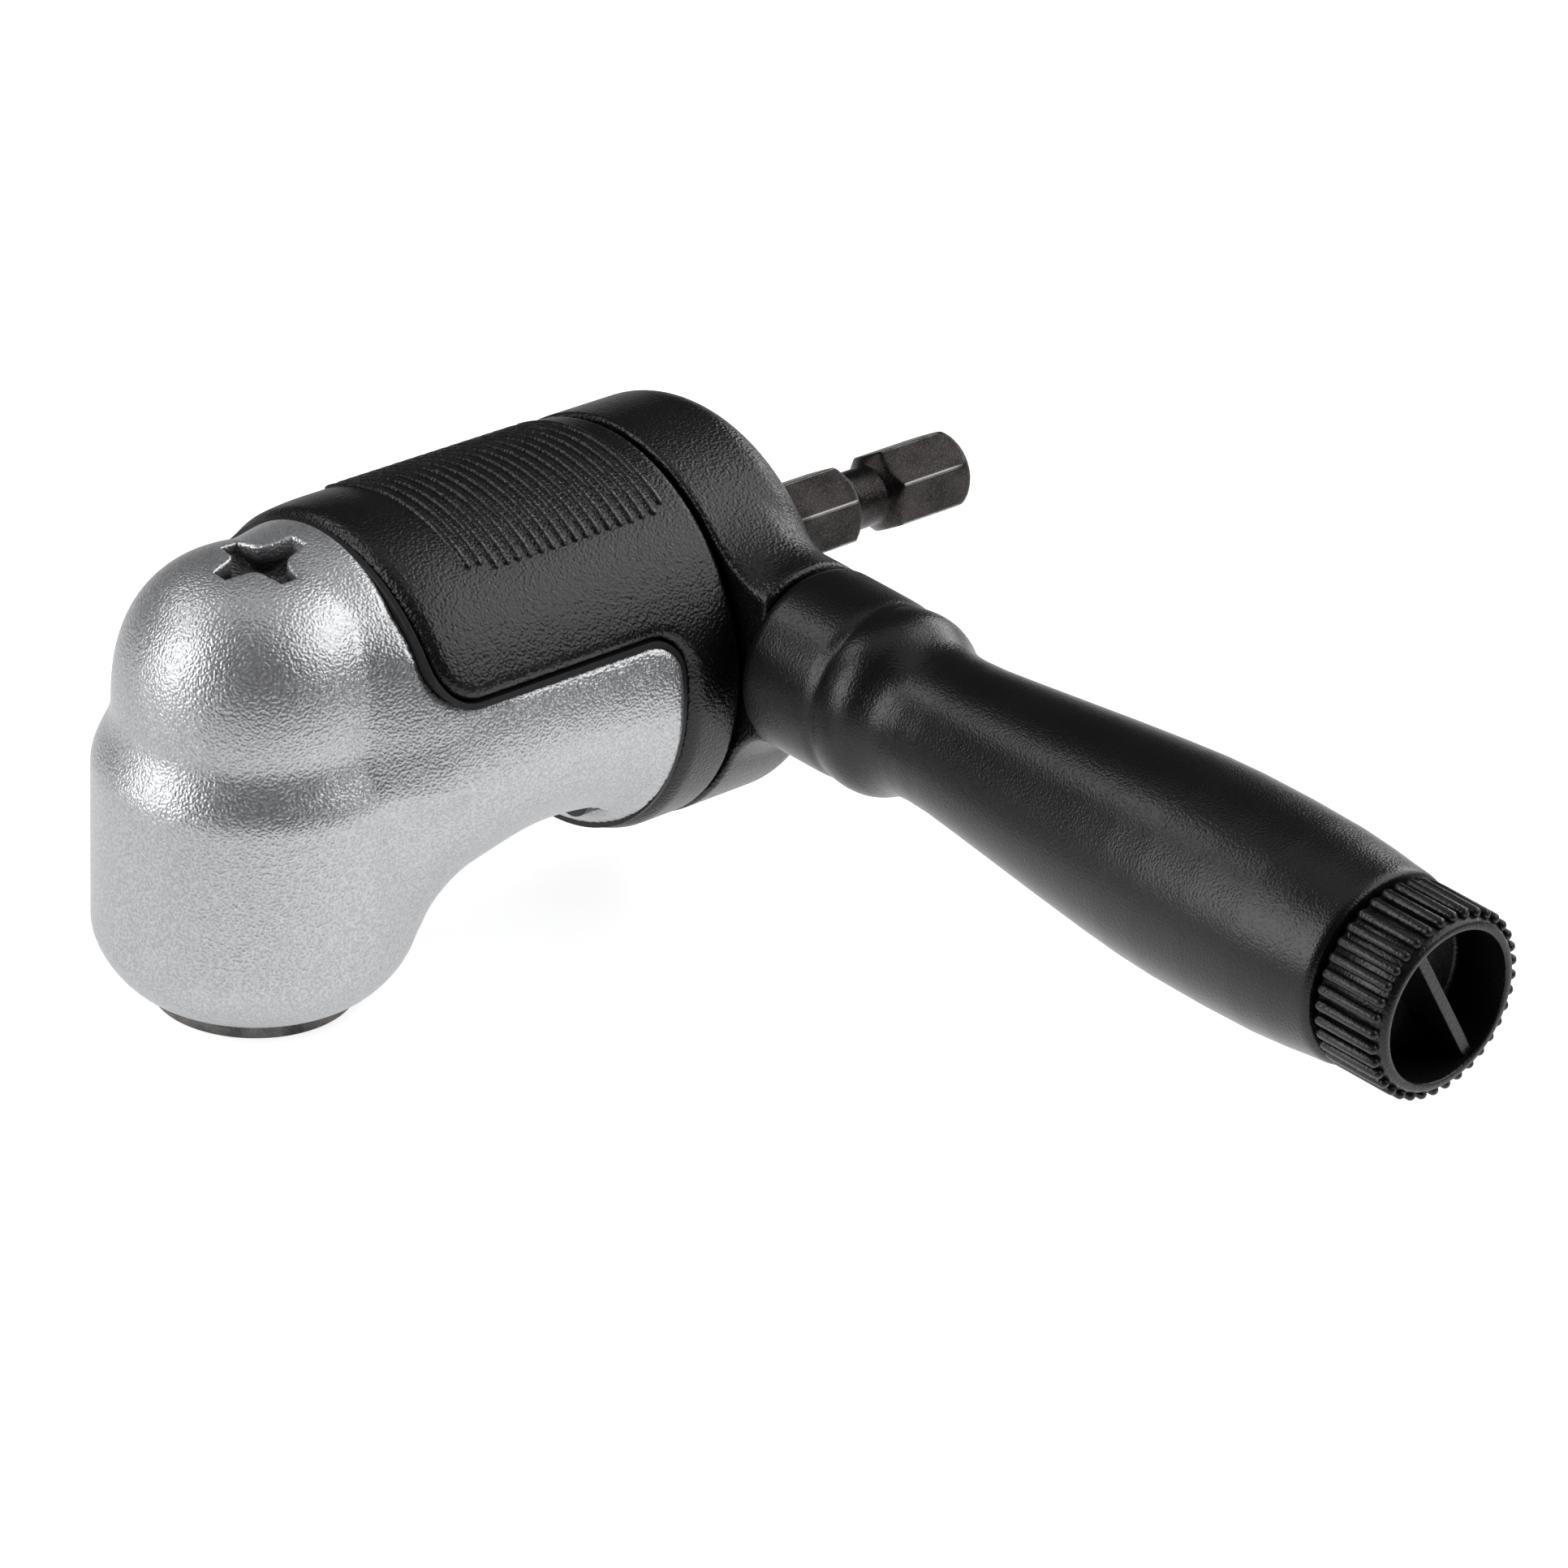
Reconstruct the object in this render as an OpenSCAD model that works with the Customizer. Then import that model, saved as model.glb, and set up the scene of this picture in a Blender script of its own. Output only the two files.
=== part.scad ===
// Right angle drill attachment with a screwed-on side handle.
// Origin: centre of the spindle nose, at the mouth of the bit socket. +Z runs up the spindle,
// +X runs along the input shaft to the tip of its hex shank, and the side handle points to -Y.

/* [Drive line] */
// Height of the input shaft axis above the spindle nose
axis_h = 24.7; // [24.4:0.1:26]
// Distance from the spindle axis to the tip of the hex shank
shank_tip_x = 72.1; // [68:0.1:80]
// Width across flats of the hex shank and of the bits it takes
hex_af = 6.35; // [6.3:0.01:6.4]
// Gap round a bit in the hex socket, across flats
socket_slack = 0.12; // [0.08:0.01:0.2]
// Depth of the hex socket
socket_depth = 11.6; // [10:0.1:12]
// Distance from the shank tip to the middle of the power groove
groove_back = 10.3; // [9:0.1:12]
// Width of the power groove where it leaves the hex corners
groove_w = 5.2; // [4:0.1:6]
// Radius left at the bottom of the power groove
groove_r = 2.5; // [2.2:0.05:2.8]
// Length of the rounded end of the shank
shank_nose = 1.7; // [0.8:0.1:2]
// Radius that the rounded end takes off the hex corners
shank_nose_drop = 1.1; // [0.6:0.1:1.4]

/* [Gear head] */
// Radius of the barrel round the spindle
barrel_r = 12.75; // [12.5:0.05:13.2]
// Radius of the dome above the barrel
dome_r = 11.2; // [11:0.05:11.6]
// Height of the dome
dome_h = 12.1; // [11.6:0.1:13]
// Height of the dome's foot above the input axis
dome_lift = 0.5; // [0:0.1:1]
// Squareness of the dome, where 2 is a plain ellipse
dome_power = 2.46; // [2:0.02:3]
// Height of the soft step from the dome to the barrel
flare_h = 5.2; // [4:0.1:6]
// Height of the head's underside above the spindle nose
floor_z = 1.6; // [1.2:0.1:2]
// Radius of the head's flat underside
foot_r = 9; // [8.6:0.1:9.6]
// Height of the rounded foot of the barrel
foot_h = 4.9; // [4:0.1:6]
// Roundness of the foot, where 2 is a plain ellipse
foot_power = 1.5; // [1.4:0.02:2]
// Distance from the spindle axis to the rear end of the casting
neck_len = 35.4; // [34.8:0.1:37]
// Drop of the body's centre line below the input axis
body_drop = 2.7; // [2.4:0.1:3]
// Outer radius of the body where the grip lies flush
body_r = 16.5; // [16.2:0.05:17]
// Thickness of the rubber and its inner sleeve over the casting
cover_t = 2.8; // [2.6:0.05:3]
// Depth of the cored cross hole in the dome
cross_depth = 4; // [3:0.1:4.4]
// Radius of the round middle of the cross hole
cross_r = 2.05; // [1.8:0.05:2.4]
// Tip to tip length of the cross hole's arms
cross_span = 7.4; // [6.6:0.1:8]
// Width of the cross hole's arms
cross_w = 1.7; // [1.2:0.1:2]
// Depth of the cross hole's arms
cross_arm_depth = 1.7; // [1.2:0.1:2.4]

/* [Grip sleeve] */
// Thickness of the inner sleeve under the rubber
liner_t = 0.9; // [0.7:0.05:1]
// Width of the dark lip that shows round the rubber
lip_w = 0.45; // [0.35:0.05:0.6]
// Depth of that lip below the rubber's surface
lip_sunk = 0.5; // [0.3:0.05:0.8]
// Distance from the spindle axis to the front edge of the grip
lobe_x = 6; // [5.6:0.1:6.8]
// Height of the side flag's top edge above the input axis
flag_top = 3; // [2.6:0.1:3.4]
// Radius where the grip's front edge turns back along the flag
lobe_r = 3.9; // [3:0.1:4.4]
// Distance from the casting's rear end to the rear edge of the flag
flag_back = 6.05; // [5:0.05:7.4]
// Radius of the flag's upper rear corner
flag_r = 2.6; // [2:0.1:3.2]
// Width of the groove between the rubber and the rear collar
seam_w = 0.5; // [0.4:0.05:0.8]
// Length of the rubber's rounded front
grip_round = 3; // [2:0.1:4]
// Drop of the rubber's front edge below the body radius
grip_front_drop = 0.45; // [0.2:0.05:1]
// Count of the ribs across the top
rib_count = 18; // [10:1:20]
// Spacing of the ribs
rib_pitch = 1.13; // [1:0.01:1.2]
// Distance from the seam to the last rib
rib_back = 2.3; // [2:0.1:4]
// Width of a rib at its foot
rib_w = 0.62; // [0.4:0.02:0.8]
// Height of a rib
rib_h = 0.13; // [0.08:0.01:0.3]
// Angle that the ribs span across the top
rib_span = 70; // [50:1:90]

/* [Rear collar] */
// Outer radius of the rear collar
collar_r = 16.6; // [16.3:0.05:17]
// Straight length of the collar before its rounded rear
collar_straight = 7.1; // [6:0.1:9]
// Length of the collar's rounded rear
collar_round = 5; // [4:0.1:6]
// Radius of the collar's flat rear face
collar_face_r = 8; // [7.4:0.1:9]
// Length of the collar's spigot inside the casting
spigot_len = 4; // [3:0.1:6]
// Distance from the collar's front to the handle's axis
boss_x = 4.6; // [4.4:0.1:6]
// Radius of the handle boss
boss_r = 7.5; // [7:0.05:7.8]
// Distance from the drive line to the handle boss's face
boss_y = 18.4; // [18:0.1:20]
// Radius of the fillet where the boss leaves the collar
boss_fillet = 3.5; // [2:0.1:4]

/* [Side handle] */
// Length of the handle grip
handle_len = 62.2; // [55:0.1:75]
// Gap between the boss and the handle
handle_gap = 0.1; // [0.05:0.05:0.3]
// Largest radius of the handle grip
handle_r = 8.6; // [8.2:0.05:9.2]
// Radius of the rounded front edge of the handle
handle_edge = 1.5; // [1:0.1:2]
// Outer radius of the steel tube inside the handle
tube_r = 3.9; // [3.6:0.05:4.2]
// Wall of that tube
tube_wall = 1.1; // [0.8:0.05:1.2]
// Radius of the clamp bolt
bolt_r = 2.45; // [2.3:0.05:2.5]
// Length of the threaded insert in the boss
insert_len = 8.4; // [7:0.1:8.6]
// Wall of the threaded insert
insert_wall = 1.2; // [1:0.05:1.4]

/* [Clamp knob] */
// Length of the ribbed part of the knob
knob_len = 6.4; // [6:0.1:8]
// Radius of the knob over the ribs
knob_r = 7.6; // [7.4:0.05:7.9]
// Height of the knob's ribs
knob_rib_h = 0.55; // [0.4:0.01:0.7]
// Count of the knob's ribs
knob_ribs = 36; // [28:1:40]
// Inner radius of the knob's cup
knob_cup_r = 6; // [5.6:0.05:6.2]
// Depth of the knob's cup
knob_cup_depth = 5; // [4.4:0.1:5.2]
// Thickness of the bar across the knob's cup
knob_bar_w = 0.95; // [0.8:0.05:1.4]
// Distance of the bar below the knob's rim
knob_bar_sunk = 0.5; // [0.3:0.05:0.8]
// Angle at which the bar lies
knob_bar_angle = 58; // [0:1:90]
// Length of the knob's journal inside the handle
journal_len = 3; // [2.4:0.1:4]
// Radius of the knob's journal
knob_journal_r = 6.2; // [6:0.05:6.4]

/* [Bevel gears] */
// Tooth count of each mitre gear
gear_teeth = 14; // [12:1:16]
// Pitch radius of each gear at its large end
gear_pitch_r = 7.35; // [7.2:0.05:7.5]
// Length of the teeth along the pitch cone
gear_face = 3.4; // [3:0.1:3.5]
// Backlash between the teeth, measured at the pitch circle
gear_backlash = 0.2; // [0.1:0.02:0.24]
// Tooth height above the pitch cone, as a share of the tooth module
addendum_share = 0.9; // [0.8:0.05:1]
// Tooth depth below the pitch cone, as a share of the tooth module
dedendum_share = 1.2; // [1.15:0.05:1.25]

/* [Shafts and bearings] */
// Radius of the spindle and the input shaft in their ball bearings
journal_r = 5; // [4.9:0.05:5.05]
// Radius of the gear seat on each shaft
seat_r = 3.5; // [3.4:0.05:3.6]
// Radius of the spindle's upper pilot
pilot_r = 2; // [1.8:0.05:2.2]
// Outer radius of the spindle's ball bearings
spindle_race_r = 7.5; // [7.4:0.05:7.6]
// Width of each of the spindle's ball bearings
spindle_race_w = 4; // [3.8:0.1:4.1]
// Width of the spacer between the spindle's bearings
spacer_w = 1.4; // [1:0.1:1.5]
// Outer radius of the input shaft's ball bearing
shaft_race_r = 9.5; // [9.3:0.05:9.6]
// Width of the input shaft's ball bearing
shaft_race_w = 5; // [4.5:0.1:5.5]
// Distance from the spindle axis to the input shaft's ball bearing
shaft_race_x = 14; // [13.6:0.1:15]
// Outer radius of the steel ring at the spindle nose
nose_ring_r = 8.1; // [7.9:0.05:8.2]
// Height of the steel ring
nose_ring_h = 3.3; // [3:0.1:3.4]
// Radius of the input shaft between its bearing and the shank
shaft_mid_r = 4.6; // [4.4:0.05:4.8]
// Outer radius of the rear bush
rear_bush_r = 6.4; // [6:0.05:6.6]
// Length of the rear bush
rear_bush_len = 7; // [5:0.1:8]
// Running clearance of a shaft in its bush, on the radius
run_gap = 0.05; // [0.02:0.01:0.08]

/* [Hidden] */
$fn = 96;
cut = 1;
whole_angle = 360;
hex_side_count = 6;
body_z = axis_h - body_drop;
core_r = body_r - cover_t;
flag_x = neck_len - flag_back;
handle_x = neck_len + boss_x;
collar_end_x = neck_len + collar_straight + collar_round;

// Spindle stack, counted upwards from the nose
stack_gap = 0.1;
low_race_z = nose_ring_h + stack_gap;
spacer_z = low_race_z + spindle_race_w;
high_race_z = spacer_z + spacer_w;
stack_z = high_race_z + spindle_race_w;
washer_t = 0.6;
washer_r = 6.2;
gear_back_z = stack_z + washer_t;
room_roof_lift = 3.2;
room_roof_z = axis_h + room_roof_lift;
bush_len = 4;
bush_r = 3.5;
bush_end_gap = 0.2;
nose_gap = 0.3;
nose_chamfer = 0.6;

// Chambers of the casting round the gears and behind the input bearing
gear_room_r = 8.8;
pinion_room_r = 9;
pinion_room_x = 4.2;
pinion_room_small_r = 6.1;
pinion_room_slope = 3.8;
rear_room_r = 9.8;
spigot_gap = 0.05;

// Snap rings
clip_t = 0.9;
clip_slack = 0.05;
clip_depth = 0.5;
shaft_clip_h = 1.8;
bearing_clip_h = 1.9;
clip_mouth_share = 0.9;
clip_end_x = shaft_race_x + shaft_race_w + clip_t + clip_slack;
gear_clip_t = 0.8;
gear_clip_r = 4.1;
gear_clip_groove_r = 1.6;
gear_clip_room_r = 4.2;

// Bit socket fittings
magnet_r = 2.4;
magnet_t = 2.2;
bit_ring_z = 4;
bit_ring_wire_r = 0.4;
bit_ring_mid_r = 3.9;
bit_ring_slack = 0.05;
socket_corner_r = corner_r(hex_af + socket_slack);

// Ball bearings: thickness of the races, balls and running slack
small_race_t = 0.72;
large_race_t = 1.5;
small_ball_r = 0.75;
large_ball_r = 1.1;
small_ball_count = 14;
large_ball_count = 10;
ball_slack = 0.02;

// Bevel gear shape: both gears share one pitch cone, with its tip where the two axes cross
pitch_cone = 45;
pressure = 20;
cone_len = gear_pitch_r/sin(pitch_cone);
gear_module = 2*gear_pitch_r/gear_teeth;
virtual_r = gear_pitch_r/cos(pitch_cone);
virtual_base_r = virtual_r*cos(pressure);
virtual_teeth = gear_teeth/cos(pitch_cone);
tooth_shares = [-dedendum_share, -0.6*dedendum_share, -0.25*dedendum_share, 0.2*addendum_share,
    0.6*addendum_share, addendum_share];
gear_hub_r = 6.2;
gear_front = 5;
gear_hub_start = 7.4;
shaft_tip_back = 0.6;

// Screws that hold the collar to the casting
screw_r = 1.25;
screw_head_r = 2.4;
screw_head_h = 1.8;
screw_ring_r = 11.9;
screw_angle = 54;
screw_seat_back = 7.8;
screw_seat_x = neck_len - screw_seat_back;
screw_len = 13;
screw_gap = 0.1;
screw_drive_af = 2;
screw_drive_depth = 1.1;
pocket_r = 3;
pocket_len = 11;

// Fit of the rear bush, the seal and the shank's shoulder
seal_t = 1.4;
seal_gap = 0.1;
shoulder_back = 0.3;
shaft_hole_gap = 0.3;
bush_start_x = collar_end_x - shoulder_back - seal_t - rear_bush_len;

// Handle boss: points round its fillet, steps along it, and how far its edges lie under the other surfaces
boss_side_count = 60;
boss_step_count = 6;
boss_sunk = 0.15;

// Steps of the shank's rounded end
nose_step_count = 5;

// Handle, counted outwards from the drive line
handle_start = boss_y + handle_gap;
handle_end = handle_start + handle_len;
insert_start = boss_y - insert_len;
bolt_hole_start = insert_start - cut;
bolt_end_gap = 0.17;
bolt_start = insert_start + bolt_end_gap;
bolt_clip_t = 0.8;
bolt_clip_depth = 0.5;
bolt_clip_h = 1.9;
clip_pocket_r = 4.4;
clip_pocket_t = 1.2;
clip_front = 0.3;
bolt_chamfer = 0.6;
wave_t = 0.4;
wave_gap = 0.1;
knob_gap = 0.3;
knob_start = handle_end + knob_gap;
knob_end = knob_start + knob_len;
knob_floor = knob_end - knob_cup_depth;
journal_start = handle_end - journal_len;
journal_gap = 0.08;
bolt_head_r = 4.2;
bolt_head_h = 1.4;
bolt_head_cover = 1.2;
bolt_head_start = knob_floor - bolt_head_cover - bolt_head_h;
knob_rib_round_share = 0.33;
knob_rib_start = 0.2;
knob_rib_end = 0.6;
knob_edge = 0.4;

// Outline of the neck, from the spindle axis back to the end of the casting
neck_x_shares = [0, 0.07, 0.14, 0.21, 0.28, 0.335, 0.395, 0.465, 0.52, 0.58, 0.65, 0.70, 0.743, 0.78, 0.816,
    0.857, 0.89, 1];
neck_side_shares = [0.70, 0.795, 0.88, 0.92, 0.94, 0.95, 0.955, 0.955, 0.955, 0.957, 0.96, 0.963, 0.97, 0.98,
    0.99, 0.998, 1, 1];
neck_top_shares = [0.88, 0.895, 0.905, 0.915, 0.925, 0.93, 0.93, 0.93, 0.93, 0.93, 0.93, 0.93, 0.93, 0.93,
    0.93, 0.93, 0.93, 0.93];
neck_low_shares = [0.60, 0.65, 0.74, 0.88, 0.97, 0.90, 0.83, 0.775, 0.75, 0.74, 0.75, 0.77, 0.806, 0.865, 0.925,
    0.98, 1, 1];
neck_side_count = 56;

// Outline of the handle grip: places along its length, and radii as shares of its largest one
handle_y_shares = [0.05, 0.10, 0.118, 0.135, 0.165, 0.18, 0.193, 0.207, 0.222, 0.238, 0.26, 0.30, 0.36, 0.44,
    0.52, 0.60, 0.66, 0.72, 0.80, 0.88, 0.93, 0.965, 1];
handle_r_shares = [0.884, 0.88, 0.868, 0.862, 0.884, 0.875, 0.845, 0.79, 0.745, 0.722, 0.715, 0.728, 0.77, 0.83,
    0.89, 0.945, 0.98, 0.998, 1, 0.985, 0.955, 0.925, 0.905];

// Places: each turns its children so that their own Z runs along the named axis
module along_shaft() {
    translate([0, 0, axis_h]) rotate([0, 90, 0]) children();
}

module along_body() {
    translate([0, 0, body_z]) rotate([0, 90, 0]) children();
}

module along_handle() {
    translate([handle_x, 0, axis_h]) rotate([90, 0, 0]) children();
}

module lifted(z) {
    translate([0, 0, z]) children();
}

// Plain turned shapes
module disc(r, z0, z1) {
    lifted(z0) cylinder(r = r, h = z1 - z0);
}

// Radius to the corners of a hexagon, from its width across flats
function corner_r(af) = af/2/cos(whole_angle/hex_side_count/2);

module hex_bar(af, z0, z1) {
    lifted(z0) cylinder(r = corner_r(af), h = z1 - z0, $fn = hex_side_count);
}

module tube(r_out, r_in, z0, z1) {
    difference() {
        disc(r_out, z0, z1);
        disc(r_in, z0 - cut, z1 + cut);
    }
}

// Snap ring with an open mouth on its +Y side
module snap_ring(r_out, r_in, z0, z1) {
    difference() {
        tube(r_out, r_in, z0, z1);
        translate([-clip_mouth_share*r_in/2, 0, z0 - cut])
            cube([clip_mouth_share*r_in, r_out + cut, z1 - z0 + 2*cut]);
    }
}

// One quarter of a superellipse from (0, h) to (r, 0), as points
function round_quarter(r, h, power, steps) =
    [for (i = [0:steps]) let (a = 90*i/steps) [r*pow(sin(a), 2/power), h*pow(cos(a), 2/power)]];

// Ball bearing parts
module inner_race(r_in, r_mid, ball_r, race_t, z0, w) {
    difference() {
        tube(r_in + race_t, r_in, z0, z0 + w);
        lifted(z0 + w/2) rotate_extrude() translate([r_mid, 0]) circle(r = ball_r + ball_slack);
    }
}

module outer_race(r_out, r_mid, ball_r, race_t, z0, w) {
    difference() {
        tube(r_out, r_out - race_t, z0, z0 + w);
        lifted(z0 + w/2) rotate_extrude() translate([r_mid, 0]) circle(r = ball_r + ball_slack);
    }
}

module ball_set(r_mid, ball_r, count, z) {
    for (i = [0:count - 1]) rotate([0, 0, whole_angle*i/count]) translate([r_mid, 0, z]) sphere(r = ball_r);
}

// Gear head: a turned barrel and dome, lofted back into the neck and the side flags
function head_outline() = concat(
    [for (p = round_quarter(dome_r, dome_h, dome_power, 18)) [p[0], axis_h + dome_lift + p[1]]],
    [for (i = [1:8]) let (s = i/8) [
        dome_r + (barrel_r - dome_r)*(1 - cos(180*s))/2, axis_h + dome_lift - flare_h*s]],
    [for (i = [0:8]) let (a = 90 - 90*i/8) [
        foot_r + (barrel_r - foot_r)*pow(sin(a), 2/foot_power),
        floor_z + foot_h*(1 - pow(cos(a), 2/foot_power))]],
    [[0, floor_z]]);

module head_turned() {
    rotate_extrude() polygon(head_outline());
}

function neck_ring(i) = let (
    side = body_r*neck_side_shares[i],
    top = body_r*neck_top_shares[i],
    low = body_r*neck_low_shares[i])
    [for (k = [0:neck_side_count - 1]) let (a = whole_angle*k/neck_side_count)
        [neck_len*neck_x_shares[i], side*cos(a), body_z + (sin(a) > 0 ? top : low)*sin(a)]];

// Closed skin through a list of rings that all have the same number of points
module ring_loft(rings) {
    n = len(rings[0]);
    m = len(rings);
    points = [for (ring = rings) for (p = ring) p];
    sides = [for (j = [0:m - 2]) for (k = [0:n - 1]) for (t = [0:1])
        t == 0 ? [j*n + k, (j + 1)*n + k, j*n + (k + 1)%n]
            : [(j + 1)*n + k, (j + 1)*n + (k + 1)%n, j*n + (k + 1)%n]];
    front = [[for (k = [0:n - 1]) k]];
    rear = [[for (k = [0:n - 1]) m*n - 1 - k]];
    polyhedron(points, concat(sides, front, rear));
}

module neck_loft() {
    ring_loft([for (i = [0:len(neck_x_shares) - 1]) neck_ring(i)]);
}

// Side view of everything behind the grip's front edge, drawn inset by d
function grip_side(d) = let (
    cx = lobe_x + lobe_r,
    cz = flag_top + lobe_r,
    fx = flag_x - flag_r,
    fz = flag_top - flag_r,
    far = 2*body_r)
    concat(
        [[lobe_x + d, far]],
        [for (i = [0:8]) let (a = 180 + 90*i/8) [cx + (lobe_r - d)*cos(a), cz + (lobe_r - d)*sin(a)]],
        [for (i = [0:8]) let (a = 90 - 90*i/8) [fx + (flag_r + d)*cos(a), fz + (flag_r + d)*sin(a)]],
        [[flag_x + d, -far], [neck_len + cut, -far], [neck_len + cut, far]]);

module grip_zone(d) {
    translate([0, 2*body_r, axis_h]) rotate([90, 0, 0])
        linear_extrude(height = 4*body_r) polygon(grip_side(d));
}

module cross_hole() {
    top = axis_h + dome_lift + dome_h;
    disc(cross_r, top - cross_depth, top + cut);
    for (a = [0, 90]) rotate([0, 0, a])
        translate([-cross_span/2, -cross_w/2, top - cross_arm_depth])
            cube([cross_span, cross_w, cross_arm_depth + cut]);
}

module at_screws() {
    for (side = [-1, 1]) along_body() rotate([0, 0, side*(90 - screw_angle)])
        translate([screw_ring_r, 0, 0]) children();
}

module head_chambers() {
    disc(nose_ring_r, floor_z - cut, nose_ring_h);
    disc(spindle_race_r, nose_ring_h - cut, stack_z + cut);
    disc(gear_room_r, stack_z + stack_gap, room_roof_z);
    disc(bush_r, room_roof_z - cut, room_roof_z + bush_len);
    along_shaft() {
        lifted(pinion_room_x) cylinder(r1 = pinion_room_small_r, r2 = pinion_room_r, h = pinion_room_slope);
        disc(pinion_room_r, pinion_room_x + pinion_room_slope - clip_slack, shaft_race_x);
        disc(shaft_race_r, shaft_race_x, shaft_race_x + shaft_race_w);
        disc(rear_room_r, shaft_race_x + shaft_race_w, neck_len + cut);
        disc(rear_room_r + clip_depth, shaft_race_x + shaft_race_w, clip_end_x);
    }
}

module gear_head() {
    color("silver") difference() {
        union() {
            head_turned();
            neck_loft();
        }
        difference() {
            grip_zone(0);
            along_body() disc(core_r, -cut, neck_len + 2*cut);
        }
        head_chambers();
        cross_hole();
        at_screws() disc(pocket_r, screw_seat_x - pocket_len, screw_seat_x);
        at_screws() disc(screw_r + screw_gap, screw_seat_x - cut, neck_len + cut);
    }
}

// Inner sleeve: the dark carrier under the rubber, whose lip shows as a thin line round it
module inner_sleeve() {
    color("#151617") intersection() {
        grip_zone(0);
        difference() {
            along_body() union() {
                disc(core_r + liner_t, 0, neck_len);
                intersection() {
                    disc(body_r - lip_sunk, 0, flag_x + lip_w);
                    sleeve_profile(lip_sunk);
                }
            }
            along_body() disc(core_r, -cut, neck_len + cut);
            difference() {
                grip_zone(lip_w);
                along_body() disc(core_r + liner_t, -cut, neck_len + cut);
            }
        }
    }
}

// Outer form of the grip, sunk by d: it swells softly from its front edge to the body radius
module sleeve_profile(d) {
    rotate_extrude() polygon(concat(
        [[0, 0], [body_r - grip_front_drop - d, 0]],
        [for (i = [0:6]) let (a = 90*i/6)
            [body_r - d - grip_front_drop*(1 - sin(a)), lobe_x + grip_round*(1 - cos(a))]],
        [[body_r - d, neck_len - seam_w], [0, neck_len - seam_w]]));
}

module grip_rib(x) {
    along_body() rotate([0, 0, 180 - rib_span/2]) rotate_extrude(angle = rib_span)
        polygon([[body_r - rib_h, x - rib_w/2], [body_r, x - rib_w/2], [body_r + rib_h, x - rib_w/5],
            [body_r + rib_h, x + rib_w/5], [body_r, x + rib_w/2], [body_r - rib_h, x + rib_w/2]]);
}

module grip_sleeve() {
    color("#1c1d1f") {
        intersection() {
            grip_zone(lip_w);
            difference() {
                along_body() sleeve_profile(0);
                along_body() disc(core_r + liner_t, -cut, neck_len + cut);
            }
        }
        for (i = [0:rib_count - 1]) grip_rib(neck_len - seam_w - rib_back - i*rib_pitch);
    }
}

// Rear collar: carries the handle boss, the rear bush and the seal
module collar_form() {
    along_body() rotate_extrude() polygon(concat(
        [[0, neck_len], [collar_r, neck_len]],
        [for (i = [0:10]) let (a = 90*i/10) [
            collar_face_r + (collar_r - collar_face_r)*cos(a),
            neck_len + collar_straight + collar_round*sin(a)]],
        [[0, collar_end_x]]));
}

function collar_radius(x) = let (s = max(0, min(1, (x - neck_len - collar_straight)/collar_round)))
    collar_face_r + (collar_r - collar_face_r)*sqrt(1 - s*s);

// How far out the collar's own surface lies at a place beside the handle's axis
function collar_reach(dx, dz) = sqrt(max(0, pow(collar_radius(handle_x + dx), 2) - pow(dz + body_drop, 2)));

// The fillet fades out towards the rear face, where the boss runs flush into it, and stays below its face
function fillet_size(a) = let (room = boss_y - 4*boss_sunk - collar_reach(boss_r*cos(a), boss_r*sin(a)))
    min(boss_fillet*(1 - max(0, cos(a))), room);

function fillet_ring(s) = [for (k = [0:boss_side_count - 1])
    let (a = whole_angle*k/boss_side_count,
        fillet = fillet_size(a),
        r = boss_r - boss_sunk + fillet*(1 - cos(90*s)),
        dx = r*cos(a),
        dz = r*sin(a))
    [dx, dz, collar_reach(dx, dz) + fillet*(1 - sin(90*s)) - boss_sunk*s]];

function flat_ring(r_share, y) = [for (p = fillet_ring(r_share)) [p[0], p[1], y]];

module boss_form() {
    intersection() {
        along_handle() union() {
            disc(boss_r, 0, boss_y);
            ring_loft(concat(
                [flat_ring(0, boss_y - 2*boss_sunk)],
                [for (i = [0:boss_step_count]) fillet_ring(i/boss_step_count)],
                [flat_ring(1, 0)]));
        }
        translate([neck_len, -boss_y - cut, 0]) cube([2*collar_r, boss_y + 2*cut, 2*axis_h]);
    }
}

module rear_collar() {
    color("#232426") difference() {
        union() {
            collar_form();
            boss_form();
            along_shaft() disc(rear_room_r - spigot_gap, neck_len - spigot_len, neck_len + cut);
        }
        along_shaft() disc(shaft_mid_r + shaft_hole_gap, neck_len - spigot_len - cut, collar_end_x);
        along_shaft() disc(rear_bush_r, bush_start_x, collar_end_x + cut);
        along_handle() disc(bolt_r + insert_wall, insert_start, boss_y + cut);
        along_handle() disc(bolt_r + run_gap, bolt_hole_start, insert_start + cut);
        at_screws() disc(screw_r, neck_len - cut, screw_seat_x + screw_len + screw_gap);
    }
}

module collar_screws() {
    head_start = screw_seat_x - screw_head_h;
    color("#3a3c3f") at_screws() difference() {
        union() {
            disc(screw_head_r, head_start, screw_seat_x);
            disc(screw_r, screw_seat_x - screw_head_h/2, screw_seat_x + screw_len);
        }
        hex_bar(screw_drive_af, head_start - cut, head_start + screw_drive_depth);
    }
}

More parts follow.
